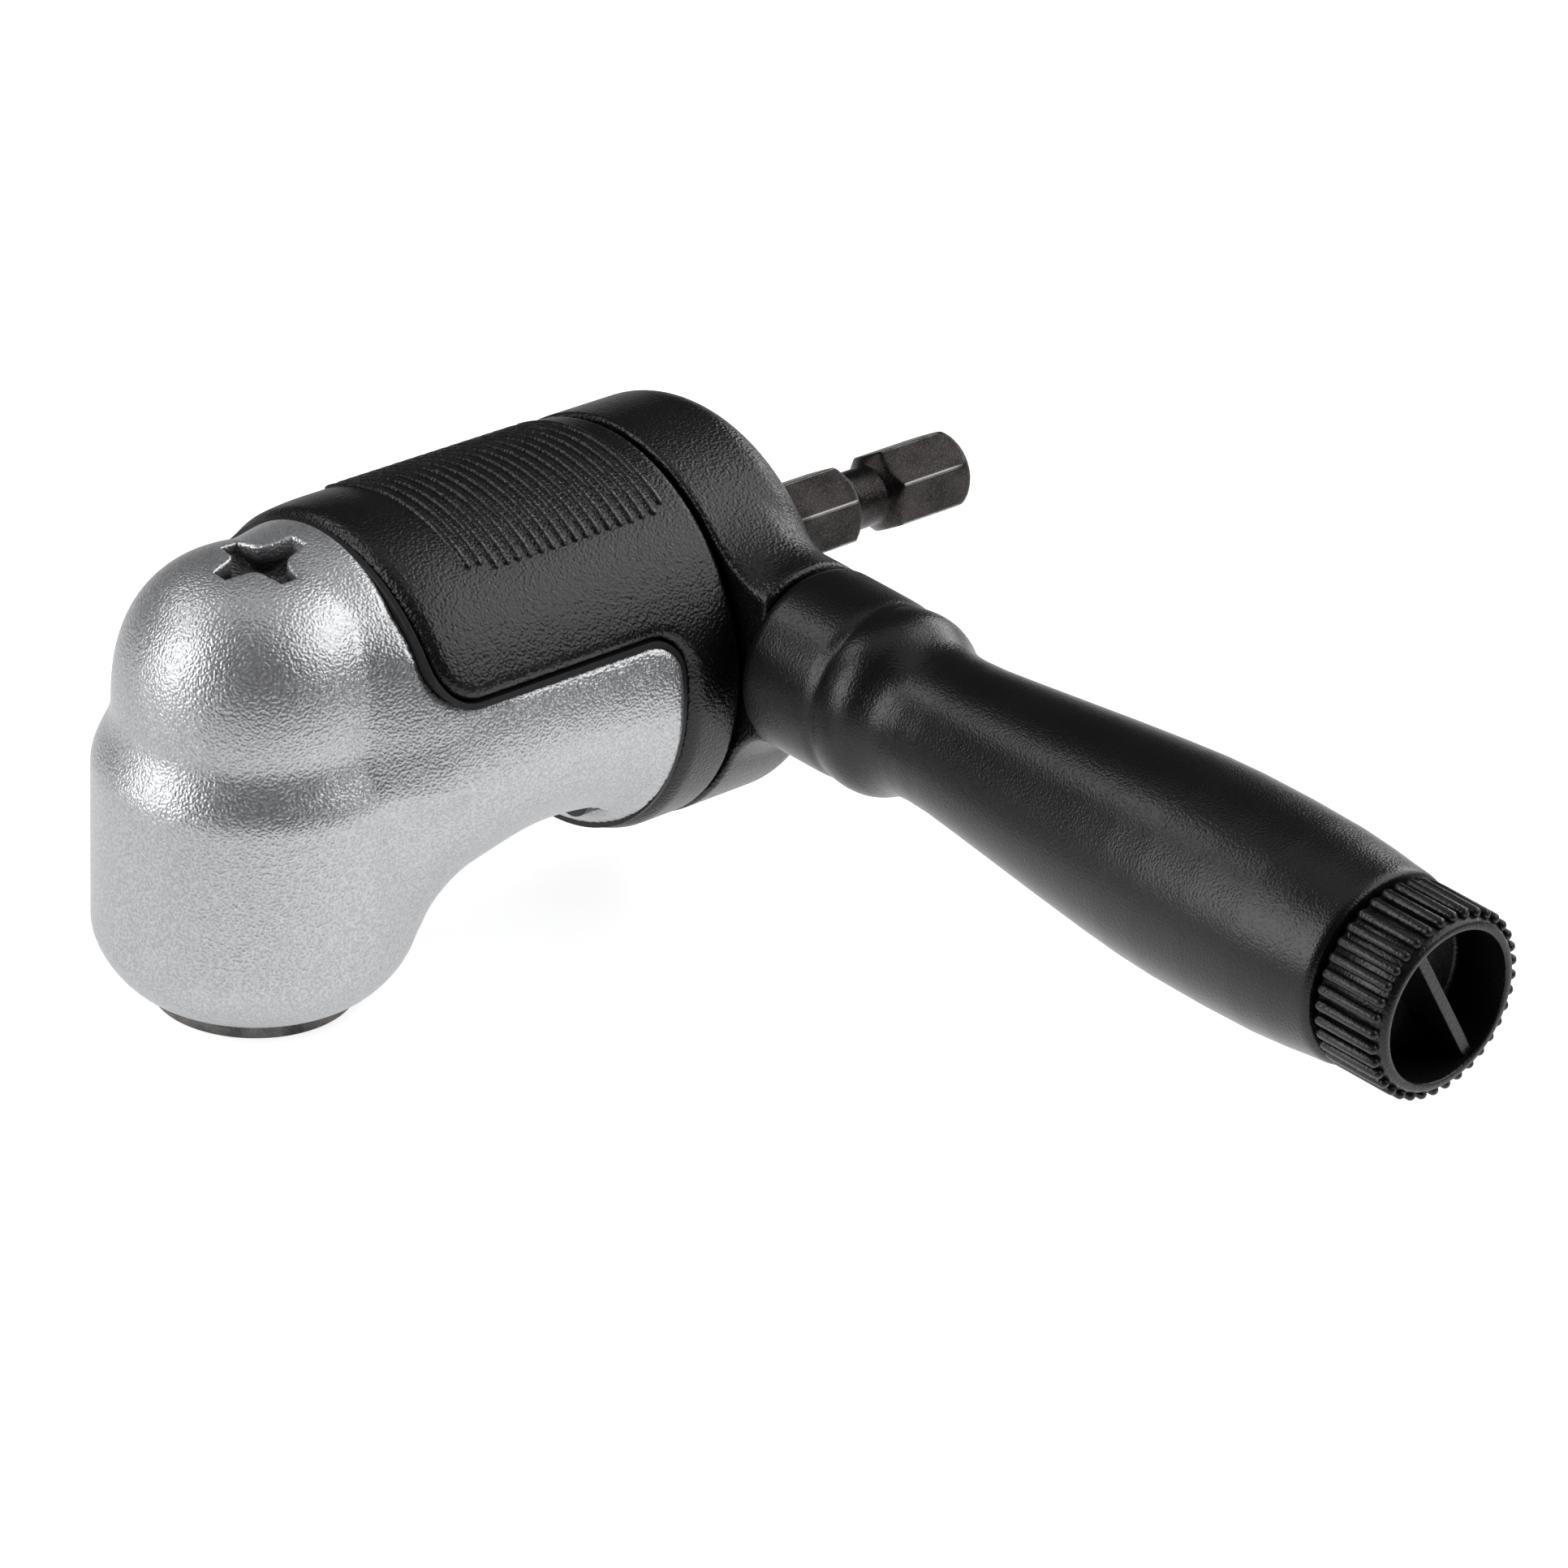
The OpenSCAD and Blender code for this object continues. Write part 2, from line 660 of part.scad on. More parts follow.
// Input shaft: gear seat, journal, middle and the hex shank with its power groove
module shank_envelope() {
    corner = corner_r(hex_af);
    wide = corner + cut;
    drop = wide - groove_r;
    mid = shank_tip_x - groove_back;
    half = groove_w/2 + cut;
    nose_start = shank_tip_x - shank_nose;
    rotate_extrude() polygon([
        [0, collar_end_x - shoulder_back - cut], [wide, collar_end_x - shoulder_back - cut],
        [wide, mid - half], [groove_r, mid - half + drop], [groove_r, mid + half - drop], [wide, mid + half],
        [wide, nose_start - cut], [corner, nose_start],
        for (i = [1:nose_step_count]) let (a = 90*i/nose_step_count)
            [corner - shank_nose_drop*(1 - cos(a)), nose_start + shank_nose*sin(a)],
        [0, shank_tip_x]]);
}

module input_shaft() {
    shoulder = collar_end_x - shoulder_back;
    race_end = shaft_race_x + shaft_race_w;
    color("#33302e") along_shaft() difference() {
        union() {
            disc(seat_r, gear_front + shaft_tip_back, shaft_race_x + cut);
            disc(journal_r, shaft_race_x, race_end + 2*clip_t);
            disc(shaft_mid_r, race_end, shoulder);
            intersection() {
                hex_bar(hex_af, shoulder - cut, shank_tip_x);
                shank_envelope();
            }
        }
        tube(journal_r + cut, journal_r - clip_depth, race_end, race_end + clip_t + clip_slack);
    }
}

// Bevel gear with its pitch cone's tip at the origin and its back at z = back
function involute(a) = tan(a)*180/PI - a;
function virtual_pressure(r) = acos(min(1, virtual_base_r/r));
function tooth_half(r) = (90/virtual_teeth + involute(pressure) - involute(virtual_pressure(r))
    - gear_backlash/virtual_r*45/PI)/cos(pitch_cone);
function tooth_point(share, angle, k) = let (
    r = virtual_r + share*gear_module,
    cone = pitch_cone + atan((r - virtual_r)/cone_len))
    k*cone_len*[sin(cone)*cos(angle), sin(cone)*sin(angle), cos(cone)];
function tooth_side(share) = tooth_half(max(virtual_r + share*gear_module, virtual_base_r));
function gear_ring(k, turn) = [for (i = [0:gear_teeth - 1])
    let (mid = whole_angle*i/gear_teeth + turn, n = len(tooth_shares))
    for (j = [0:2*n - 1])
        let (share = tooth_shares[j < n ? j : 2*n - 1 - j], side = tooth_side(share))
        tooth_point(share, mid + (j < n ? -side : side), k)];

module toothed_ring(turn) {
    outer = gear_ring(1, turn);
    inner = gear_ring(1 - gear_face/cone_len, turn);
    n = len(outer);
    points = concat(inner, outer, [[0, 0, gear_front], [0, 0, outer[0][2]]]);
    polyhedron(points, [for (k = [0:n - 1]) for (t = [0:3])
        t == 0 ? [k, n + k, (k + 1)%n] : t == 1 ? [n + k, n + (k + 1)%n, (k + 1)%n]
            : t == 2 ? [2*n, k, (k + 1)%n] : [2*n + 1, n + (k + 1)%n, n + k]]);
}

module bevel_gear(back, turn) {
    difference() {
        union() {
            toothed_ring(turn);
            disc(gear_hub_r, gear_hub_start, back);
        }
        disc(seat_r, 0, back + cut);
    }
}

module drive_pinion() {
    color("#77797c") along_shaft() bevel_gear(shaft_race_x, 0);
}

module spindle_gear() {
    color("#7d7f82") lifted(axis_h) rotate([180, 0, 0]) difference() {
        bevel_gear(axis_h - gear_back_z, 180/gear_teeth);
        disc(gear_clip_room_r, 0, gear_front);
    }
}

// Input shaft's bearing and rings
large_mid_r = (journal_r + shaft_race_r)/2;
small_mid_r = (journal_r + spindle_race_r)/2;

module shaft_bearing_inner() {
    color("#8b8d90") along_shaft()
        inner_race(journal_r, large_mid_r, large_ball_r, large_race_t, shaft_race_x, shaft_race_w);
}

module shaft_bearing_outer() {
    color("#8b8d90") along_shaft()
        outer_race(shaft_race_r, large_mid_r, large_ball_r, large_race_t, shaft_race_x, shaft_race_w);
}

module shaft_bearing_balls() {
    color("#b9bbbd") along_shaft()
        ball_set(large_mid_r, large_ball_r, large_ball_count, shaft_race_x + shaft_race_w/2);
}

module bearing_clip() {
    start = shaft_race_x + shaft_race_w;
    groove_r_out = rear_room_r + clip_depth;
    color("#4a4b4d") along_shaft()
        snap_ring(groove_r_out, groove_r_out - bearing_clip_h, start, start + clip_t);
}

module shaft_clip() {
    start = shaft_race_x + shaft_race_w;
    color("#4a4b4d") along_shaft() snap_ring(journal_r - clip_depth + shaft_clip_h, journal_r - clip_depth,
        start, start + clip_t);
}

module rear_bush() {
    color("#a9803f") along_shaft()
        tube(rear_bush_r, shaft_mid_r + run_gap, bush_start_x, bush_start_x + rear_bush_len);
}

module shaft_seal() {
    color("#101010") along_shaft() tube(rear_bush_r, shaft_mid_r + seal_gap, bush_start_x + rear_bush_len,
        collar_end_x - shoulder_back);
}

// Output spindle: hex socket, ball bearing journal, gear seat and upper pilot
module output_spindle() {
    gear_top = axis_h - gear_front;
    color("#5d5c5b") difference() {
        union() {
            rotate_extrude() polygon([[0, 0], [journal_r - nose_chamfer, 0], [journal_r, nose_chamfer],
                [journal_r, gear_back_z], [0, gear_back_z]]);
            disc(seat_r, gear_back_z - cut, gear_top);
            disc(pilot_r, gear_top - cut, room_roof_z + bush_len - bush_end_gap);
        }
        hex_bar(hex_af + socket_slack, -cut, socket_depth);
        lifted(-cut)
            cylinder(r1 = socket_corner_r + cut, r2 = socket_corner_r - nose_chamfer, h = nose_chamfer + cut);
        disc(magnet_r, socket_depth - cut, socket_depth + magnet_t);
        lifted(bit_ring_z) rotate_extrude()
            translate([bit_ring_mid_r, 0]) circle(r = bit_ring_wire_r + bit_ring_slack);
        tube(pilot_r + cut, gear_clip_groove_r, gear_top, gear_top + gear_clip_t + clip_slack);
    }
}

module gear_washer() {
    color("#a9803f") tube(washer_r, journal_r, stack_z, gear_back_z);
}

module gear_clip() {
    start = axis_h - gear_front;
    color("#4a4b4d") snap_ring(gear_clip_r, gear_clip_groove_r, start, start + gear_clip_t);
}

// Spindle bearings
module spindle_bearing_inner(z) {
    color("#8b8d90") inner_race(journal_r, small_mid_r, small_ball_r, small_race_t, z, spindle_race_w);
}

module spindle_bearing_outer(z) {
    color("#8b8d90") outer_race(spindle_race_r, small_mid_r, small_ball_r, small_race_t, z, spindle_race_w);
}

module spindle_bearing_balls(z) {
    color("#b9bbbd") ball_set(small_mid_r, small_ball_r, small_ball_count, z + spindle_race_w/2);
}

module upper_bearing_inner() {
    spindle_bearing_inner(high_race_z);
}

module upper_bearing_outer() {
    spindle_bearing_outer(high_race_z);
}

module upper_bearing_balls() {
    spindle_bearing_balls(high_race_z);
}

module lower_bearing_inner() {
    spindle_bearing_inner(low_race_z);
}

module lower_bearing_outer() {
    spindle_bearing_outer(low_race_z);
}

module lower_bearing_balls() {
    spindle_bearing_balls(low_race_z);
}

module bearing_spacer() {
    color("#6f7173") tube(spindle_race_r, spindle_race_r - small_race_t, spacer_z, high_race_z);
}

module pilot_bush() {
    color("#a9803f") tube(bush_r, pilot_r + run_gap, room_roof_z, room_roof_z + bush_len);
}

module nose_ring() {
    color("#6d6c6a") difference() {
        tube(nose_ring_r, journal_r + nose_gap, 0, nose_ring_h);
        tube(nose_ring_r + cut, nose_ring_r - clip_depth/2, -cut, 0);
    }
}

module bit_ring() {
    color("#9a9b9d") difference() {
        lifted(bit_ring_z) rotate_extrude() translate([bit_ring_mid_r, 0]) circle(r = bit_ring_wire_r);
        translate([-clip_mouth_share*bit_ring_mid_r/4, 0, bit_ring_z - bit_ring_wire_r - cut])
            cube([clip_mouth_share*bit_ring_mid_r/2, bit_ring_mid_r + cut, 2*(bit_ring_wire_r + cut)]);
    }
}

module bit_magnet() {
    color("#8f9194") disc(magnet_r, socket_depth, socket_depth + magnet_t);
}

// Handle grip: a turned moulding with a soft crease, a finger stop, a waist and a fuller end
function handle_outline() = concat(
    [[0, handle_start]],
    [for (i = [0:5]) let (a = 90*i/5) [
        handle_r*handle_r_shares[0] - handle_edge*(1 - sin(a)), handle_start + handle_edge*(1 - cos(a))]],
    [for (i = [0:len(handle_y_shares) - 1])
        [handle_r*handle_r_shares[i], handle_start + handle_len*handle_y_shares[i]]],
    [[0, handle_end]]);

module handle_grip() {
    color("#1b1b1c") along_handle() difference() {
        rotate_extrude() polygon(handle_outline());
        disc(tube_r, handle_start - cut, handle_end + cut);
        disc(clip_pocket_r, handle_start - cut, handle_start + clip_pocket_t);
        disc(knob_journal_r + journal_gap, journal_start - wave_t, handle_end + cut);
    }
}

module handle_tube() {
    color("#84868a") along_handle()
        tube(tube_r, tube_r - tube_wall, handle_start + clip_pocket_t, journal_start - wave_t);
}

module handle_insert() {
    color("#b08d4a") along_handle() tube(bolt_r + insert_wall, bolt_r + run_gap, insert_start, boss_y);
}

// Clamp bolt: runs through the handle and screws into the insert
module clamp_bolt() {
    groove = handle_start + clip_front;
    color("#6a6c6f") along_handle() difference() {
        union() {
            lifted(bolt_start) cylinder(r1 = bolt_r - bolt_chamfer, r2 = bolt_r, h = bolt_chamfer);
            disc(bolt_r, bolt_start + bolt_chamfer, bolt_head_start + cut/2);
            lifted(bolt_head_start) cylinder(r = bolt_head_r, h = bolt_head_h, $fn = hex_side_count);
        }
        tube(bolt_r + cut, bolt_r - bolt_clip_depth, groove, groove + bolt_clip_t + clip_slack);
    }
}

module bolt_clip() {
    start = handle_start + clip_front;
    color("#4a4b4d") along_handle() snap_ring(bolt_r - bolt_clip_depth + bolt_clip_h, bolt_r - bolt_clip_depth,
        start, start + bolt_clip_t);
}

module wave_washer() {
    color("#9a9b9d") along_handle()
        tube(knob_journal_r - wave_t, tube_r, journal_start - wave_t, journal_start - wave_gap);
}

// Clamp knob: a ribbed cup with a bar across it
module knob_ribs_2d() {
    round_r = knob_rib_round_share*2*PI*knob_r/knob_ribs;
    circle(r = knob_r - knob_rib_h);
    for (i = [0:knob_ribs - 1]) rotate([0, 0, whole_angle*i/knob_ribs])
        translate([knob_r - round_r, 0]) circle(r = round_r, $fn = 16);
}

module clamp_knob() {
    root_r = knob_r - knob_rib_h;
    color("#202122") along_handle() difference() {
        union() {
            disc(knob_journal_r, journal_start, knob_start + cut);
            lifted(knob_start + knob_rib_start)
                linear_extrude(height = knob_len - knob_rib_start - knob_rib_end) knob_ribs_2d();
            rotate_extrude() polygon([[0, knob_start], [root_r, knob_start], [root_r, knob_end - knob_edge],
                [root_r - knob_edge/2, knob_end], [0, knob_end]]);
        }
        difference() {
            disc(knob_cup_r, knob_floor, knob_end + cut);
            rotate([0, 0, -knob_bar_angle])
                translate([-knob_cup_r - cut, -knob_bar_w/2, knob_floor - cut])
                    cube([2*(knob_cup_r + cut), knob_bar_w, knob_cup_depth - knob_bar_sunk + cut]);
        }
        disc(bolt_r, journal_start - cut, bolt_head_start + cut/2);
        lifted(bolt_head_start) cylinder(r = bolt_head_r, h = bolt_head_h, $fn = hex_side_count);
    }
}

gear_head();
inner_sleeve();
grip_sleeve();
rear_collar();
collar_screws();
input_shaft();
drive_pinion();
shaft_bearing_inner();
shaft_bearing_outer();
shaft_bearing_balls();
bearing_clip();
shaft_clip();
rear_bush();
shaft_seal();
output_spindle();
spindle_gear();
gear_washer();
gear_clip();
upper_bearing_inner();
upper_bearing_outer();
upper_bearing_balls();
lower_bearing_inner();
lower_bearing_outer();
lower_bearing_balls();
bearing_spacer();
pilot_bush();
nose_ring();
bit_ring();
bit_magnet();
handle_grip();
handle_tube();
handle_insert();
clamp_bolt();
bolt_clip();
clamp_knob();
wave_washer();
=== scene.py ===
"""Looks of a right angle drill attachment with a screwed-on side handle.

Every length in the classes below is in millimetres in the part's own frame: the origin is the mouth
of the bit socket, +Z runs up the spindle, +X along the input shaft and the side handle points to -Y.
"""

import logging
import math
from dataclasses import dataclass, field
from enum import Enum
from typing import Any, Callable, Sequence

import bpy
import numpy as np
from mathutils import Matrix, Vector

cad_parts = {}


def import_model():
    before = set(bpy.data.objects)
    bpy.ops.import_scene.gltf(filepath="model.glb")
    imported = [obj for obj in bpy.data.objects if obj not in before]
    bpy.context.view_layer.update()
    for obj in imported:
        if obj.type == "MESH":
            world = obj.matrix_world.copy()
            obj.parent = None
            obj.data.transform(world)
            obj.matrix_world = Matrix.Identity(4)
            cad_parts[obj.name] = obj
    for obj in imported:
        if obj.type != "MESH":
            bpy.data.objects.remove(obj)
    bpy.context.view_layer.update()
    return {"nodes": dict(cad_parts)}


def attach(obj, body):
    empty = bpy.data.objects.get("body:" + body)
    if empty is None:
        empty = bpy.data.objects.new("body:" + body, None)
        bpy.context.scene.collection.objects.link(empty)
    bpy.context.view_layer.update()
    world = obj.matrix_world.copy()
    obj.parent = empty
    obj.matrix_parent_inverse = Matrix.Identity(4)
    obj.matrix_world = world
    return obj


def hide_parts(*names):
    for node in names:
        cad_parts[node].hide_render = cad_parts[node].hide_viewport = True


MM = 0.001
LOG = logging.getLogger("angle_drive")
Array = np.ndarray
Form = Callable[[Array, Array, Array], Array]
Pair = tuple[float, float]
Triple = tuple[float, float, float]


class Body(Enum):
    """The bodies that pieces ride on."""

    HOUSING = "body"
    INPUT = "input"
    HANDLE = "handle"
    CLAMP = "clamp"


# Forms: signed distances in millimetres, negative inside the material


def join_round(a: Array, b: Array, r: float) -> Array:
    """Joins two forms with a concave fillet.

    Args:
        a: Distances to the first form.
        b: Distances to the second form.
        r: Radius of the fillet.

    Returns:
        Distances to the joined form.
    """
    return np.maximum(r, np.minimum(a, b)) - np.hypot(np.maximum(r - a, 0), np.maximum(r - b, 0))


def meet_round(a: Array, b: Array, r: float) -> Array:
    """Keeps what two forms share, with its edge rounded.

    Args:
        a: Distances to the first form.
        b: Distances to the second form.
        r: Radius of the edge.

    Returns:
        Distances to the shared form.
    """
    return np.minimum(-r, np.maximum(a, b)) + np.hypot(np.maximum(r + a, 0), np.maximum(r + b, 0))


def cut_round(a: Array, b: Array, r: float) -> Array:
    """Cuts form b out of form a with edge radius r."""
    return meet_round(a, -b, r)


def slab(v: Array, low: float, high: float) -> Array:
    """Distance to the layer between two parallel planes."""
    return np.maximum(low - v, v - high)


def arc(centre: Pair, radii: Pair, start: float, end: float, steps: int, power: float = 2.0) -> list[Pair]:
    """Gives points along an arc of an ellipse, or of a squarer one.

    Args:
        centre: Its middle.
        radii: Its reach along both axes.
        start: Its first angle in degrees.
        end: Its last angle in degrees.
        steps: How many steps it takes.
        power: Its squareness, where 2 is a plain ellipse.

    Returns:
        Points from its start to its end.
    """
    turns = np.radians(start + (end - start) * np.arange(steps + 1) / steps)
    parts = [np.sign(f) * np.abs(f) ** (2 / power) for f in (np.cos(turns), np.sin(turns))]
    return [(centre[0] + radii[0] * float(u), centre[1] + radii[1] * float(v)) for u, v in zip(*parts)]


def softened(values: Array, reach: int, width: float) -> Array:
    """Evens out a row of values.

    Args:
        values: The row.
        reach: How many neighbours on each side take part.
        width: Width of the bell curve that weighs them.

    Returns:
        A row of the same length.
    """
    bell = np.exp(-0.5 * (np.arange(-reach, reach + 1) / width) ** 2)
    return np.convolve(np.pad(values, reach, mode="edge"), bell / bell.sum(), mode="valid")


@dataclass
class Outline:
    """A closed outline whose signed distance is worked out once on a fine table."""

    points: Sequence[Pair]
    step: float = 0.12
    margin: float = 4.0

    def __post_init__(self) -> None:
        """Fills the table."""
        pts = np.array(self.points, dtype=float)
        self.low = pts.min(axis=0) - self.margin
        count = np.ceil((pts.max(axis=0) + self.margin - self.low) / self.step).astype(int) + 1
        u = self.low[0] + self.step * np.arange(count[0])[:, None]
        v = self.low[1] + self.step * np.arange(count[1])[None, :]
        best = np.full((count[0], count[1]), 1e9)
        inside = np.zeros(best.shape, dtype=bool)
        for (au, av), (bu, bv) in zip(pts, np.roll(pts, -1, axis=0)):
            eu, ev = bu - au, bv - av
            length = eu * eu + ev * ev
            if length < 1e-12:
                continue
            t = np.clip(((u - au) * eu + (v - av) * ev) / length, 0, 1)
            best = np.minimum(best, (u - au - t * eu) ** 2 + (v - av - t * ev) ** 2)
            if abs(ev) > 1e-9:
                crosses = ((av > v) != (bv > v)) & (u < au + (v - av) * eu / ev)
                inside ^= crosses
        self.table = np.sqrt(best) * np.where(inside, -1, 1)

    def __call__(self, u: Array, v: Array) -> Array:
        """Reads the distance at places by bilinear interpolation."""
        fu = np.clip((u - self.low[0]) / self.step, 0, self.table.shape[0] - 1.001)
        fv = np.clip((v - self.low[1]) / self.step, 0, self.table.shape[1] - 1.001)
        i, j = fu.astype(int), fv.astype(int)
        s, t = fu - i, fv - j
        near = self.table[i, j] * (1 - t) + self.table[i, j + 1] * t
        far = self.table[i + 1, j] * (1 - t) + self.table[i + 1, j + 1] * t
        return near * (1 - s) + far * s


@dataclass
class Moulder:
    """Turns a form into an even skin of four-sided faces."""

    low: Triple
    high: Triple
    step: float
    quick_step: float
    fine: tuple[Pair, ...] = ()
    rounds: int = 3

    def __post_init__(self) -> None:
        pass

    def places(self, axis: int) -> Array:
        """The grid's places along one axis, set twice as close in the fine stretch."""
        low, high = self.low[axis], self.high[axis] + self.step
        if not self.fine:
            return np.arange(low, high, self.step)
        start, end = self.fine[axis]
        before = np.arange(low, start - 0.1 * self.step, self.step)
        return np.concatenate([before, np.arange(start, end, self.step / 2), np.arange(end, high, self.step)])

    def skin(self, name: str, form: Form) -> bpy.types.Object:
        """Builds the skin of a form.

        Args:
            name: Name of the piece.
            form: The form's signed distance.

        Returns:
            The piece's object.
        """
        axes = [self.places(n) for n in range(3)]
        grid = np.meshgrid(*axes, indexing="ij")
        values = form(*grid)
        values[np.abs(values) < 1e-6] = 1e-6
        spots, faces = self.nets(values, axes)
        for _ in range(self.rounds):
            spots = self.settle(spots, form)
        return mesh_piece(name, spots, faces)

    def nets(self, values: Array, axes: list[Array]) -> tuple[Array, list[list[int]]]:
        """Places one point in every cell that the skin passes through, and joins neighbours.

        Args:
            values: Distances at the grid's points.
            axes: The grid's places along each axis.

        Returns:
            The points and the faces.
        """
        sign = values < 0
        shape = [n - 1 for n in values.shape]
        total = np.zeros((*shape, 3))
        count = np.zeros(shape)
        corners = [(i, j, k) for i in (0, 1) for j in (0, 1) for k in (0, 1)]

        def part(data: Array, c: tuple[int, int, int]) -> Array:
            """The values at that corner of every cell."""
            return data[c[0]:c[0] + shape[0], c[1]:c[1] + shape[1], c[2]:c[2] + shape[2]]

        for c in corners:
            for axis in range(3):
                if c[axis]:
                    continue
                va = part(values, c)
                vb = part(values, tuple(1 if n == axis else c[n] for n in range(3)))
                cross = (va < 0) != (vb < 0)
                t = np.where(cross, va / np.where(cross, va - vb, 1), 0)
                for n in range(3):
                    total[..., n] += cross * (t if n == axis else c[n])
                count += cross
        active = count > 0
        index = np.full(shape, -1)
        index[active] = np.arange(active.sum())
        cell = np.argwhere(active)
        inner = cell + total[active] / count[active][:, None]
        spots = np.stack([np.interp(inner[:, n], np.arange(len(a)), a) for n, a in enumerate(axes)], axis=1)
        faces = []
        for axis in range(3):
            b, c = (axis + 1) % 3, (axis + 2) % 3
            first = np.moveaxis(sign, (axis, b, c), (0, 1, 2))
            ids = np.moveaxis(index, (axis, b, c), (0, 1, 2))
            a0, a1 = first[:-1, 1:-1, 1:-1], first[1:, 1:-1, 1:-1]
            quad = [ids[:, :-1, :-1], ids[:, 1:, :-1], ids[:, 1:, 1:], ids[:, :-1, 1:]]
            for picked, order in ((a0 & ~a1, (0, 1, 2, 3)), (~a0 & a1, (3, 2, 1, 0))):
                faces.append(np.stack([quad[n][picked] for n in order], axis=-1))
        return spots, np.concatenate(faces).tolist()

    def settle(self, spots: Array, form: Form) -> Array:
        """Moves points onto the form's true surface along its slope."""
        h = self.step / (8 if self.fine else 4)
        value = form(*spots.T)
        steps = [form(*(spots + h * e).T) - form(*(spots - h * e).T) for e in np.eye(3)]
        slope = np.stack(steps, axis=1) / (2 * h)
        size = np.maximum((slope ** 2).sum(axis=1), 0.2)
        move = -(value / size)[:, None] * slope
        reach = np.linalg.norm(move, axis=1, keepdims=True)
        return spots + move * np.minimum(1, 1.6 * h / np.maximum(reach, 1e-9))


def place_object(name: str, data: Any) -> bpy.types.Object:
    """Makes an object of that data and links it to the scene."""
    made = bpy.data.objects.new(name, data)
    bpy.context.scene.collection.objects.link(made)
    return made


def mesh_piece(name: str, spots: Array | Sequence, faces: Sequence, smooth: bool = True) -> bpy.types.Object:
    """Makes an object from points in millimetres.

    Args:
        name: Name of the piece.
        spots: The points.
        faces: The faces, by the points' numbers.
        smooth: Whether its faces are shaded smooth.

    Returns:
        The object, linked to the scene.
    """
    mesh = bpy.data.meshes.new(name)
    mesh.from_pydata((np.asarray(spots, dtype=float) * MM).tolist(), [], faces)
    mesh.validate()
    if smooth:
        mesh.shade_smooth()
    return place_object(name, mesh)


@dataclass
class Axis:
    """A line that turned pieces stand round."""

    origin: Triple
    along: Triple
    side: Triple

    def place(self, r: float, angle: float, t: float) -> Vector:
        """The point at radius r, an angle in radians and t along the line."""
        along, side = Vector(self.along), Vector(self.side)
        out = side * math.cos(angle) + along.cross(side) * math.sin(angle)
        return Vector(self.origin) + along * t + out * r


def turned(name: str, axis: Axis, outline: Sequence[Pair], sides: int) -> bpy.types.Object:
    """Turns a closed outline of (radius, place along the axis) round an axis.

    Args:
        name: Name of the piece.
        axis: The line that it is turned round.
        outline: The outline, counter-clockwise with the radius to the right and the axis up.
        sides: How many faces go round.

    Returns:
        The piece's object.
    """
    spots: list[Vector] = []
    rings: list[list[int]] = []
    for r, t in outline:
        if r < 1e-6:
            rings.append([len(spots)] * sides)
            spots.append(axis.place(0, 0, t))
        else:
            rings.append(list(range(len(spots), len(spots) + sides)))
            spots.extend(axis.place(r, 2 * math.pi * k / sides, t) for k in range(sides))
    faces = []
    for low, high in zip(rings, rings[1:] + rings[:1]):
        for k in range(sides):
            n = (k + 1) % sides
            corners = list(dict.fromkeys((low[k], low[n], high[n], high[k])))
            if len(corners) > 2:
                faces.append(corners)
    return mesh_piece(name, [tuple(s) for s in spots], faces)


# Node trees


class Sum:
    """An output socket that takes part in written sums."""

    def __init__(self, bench: "Bench", socket: Any) -> None:
        """Keeps the socket and the tree that it belongs to."""
        self.bench = bench
        self.socket = socket

    def math(self, operation: str, *others: Any) -> "Sum":
        """Adds a Math node.

        Args:
            operation: The node's operation.
            others: The other inputs, sums or numbers.

        Returns:
            The node's output.
        """
        return self.bench.node("ShaderNodeMath", dict(enumerate((self, *others))), operation=operation)[0]

    def __add__(self, other: Any) -> "Sum":
        """Adds."""
        return self.math("ADD", other)

    def __mul__(self, other: Any) -> "Sum":
        """Multiplies."""
        return self.math("MULTIPLY", other)

    def __sub__(self, other: Any) -> "Sum":
        """Subtracts."""
        return self.math("SUBTRACT", other)

    def __rsub__(self, other: Any) -> "Sum":
        """Subtracts from a number."""
        return self.bench.node("ShaderNodeMath", {0: other, 1: self}, operation="SUBTRACT")[0]

    __radd__ = __add__
    __rmul__ = __mul__

    def clamped(self, low: float, high: float) -> "Sum":
        """Maps low to 0 and high to 1, and holds it between them."""
        values = {"Value": self, "From Min": low, "From Max": high}
        return self.bench.node("ShaderNodeMapRange", values, clamp=True)[0]


class Bench:
    """A node tree in the making."""

    def __init__(self, tree: bpy.types.NodeTree) -> None:
        """Keeps the tree."""
        self.tree = tree

    def node(self, kind: str, values: dict[Any, Any] | None = None, **settings: Any) -> list[Sum]:
        """Adds a node.

        Args:
            kind: The node's type.
            values: Values or links of its sockets, by name or number.
            settings: Its settings, set first.

        Returns:
            Its outputs.
        """
        made = self.tree.nodes.new(kind)
        for key, value in settings.items():
            setattr(made, key, value)
        for key, value in (values or {}).items():
            self.feed(made.inputs[key], value)
        return [Sum(self, s) for s in made.outputs]

    def feed(self, socket: Any, value: Any) -> None:
        """Sets a socket, or links it to a sum or to each of a list of sums."""
        if isinstance(value, list):
            for one in value:
                self.feed(socket, one)
        elif isinstance(value, Sum):
            self.tree.links.new(value.socket, socket)
        else:
            socket.default_value = value


# Finishes


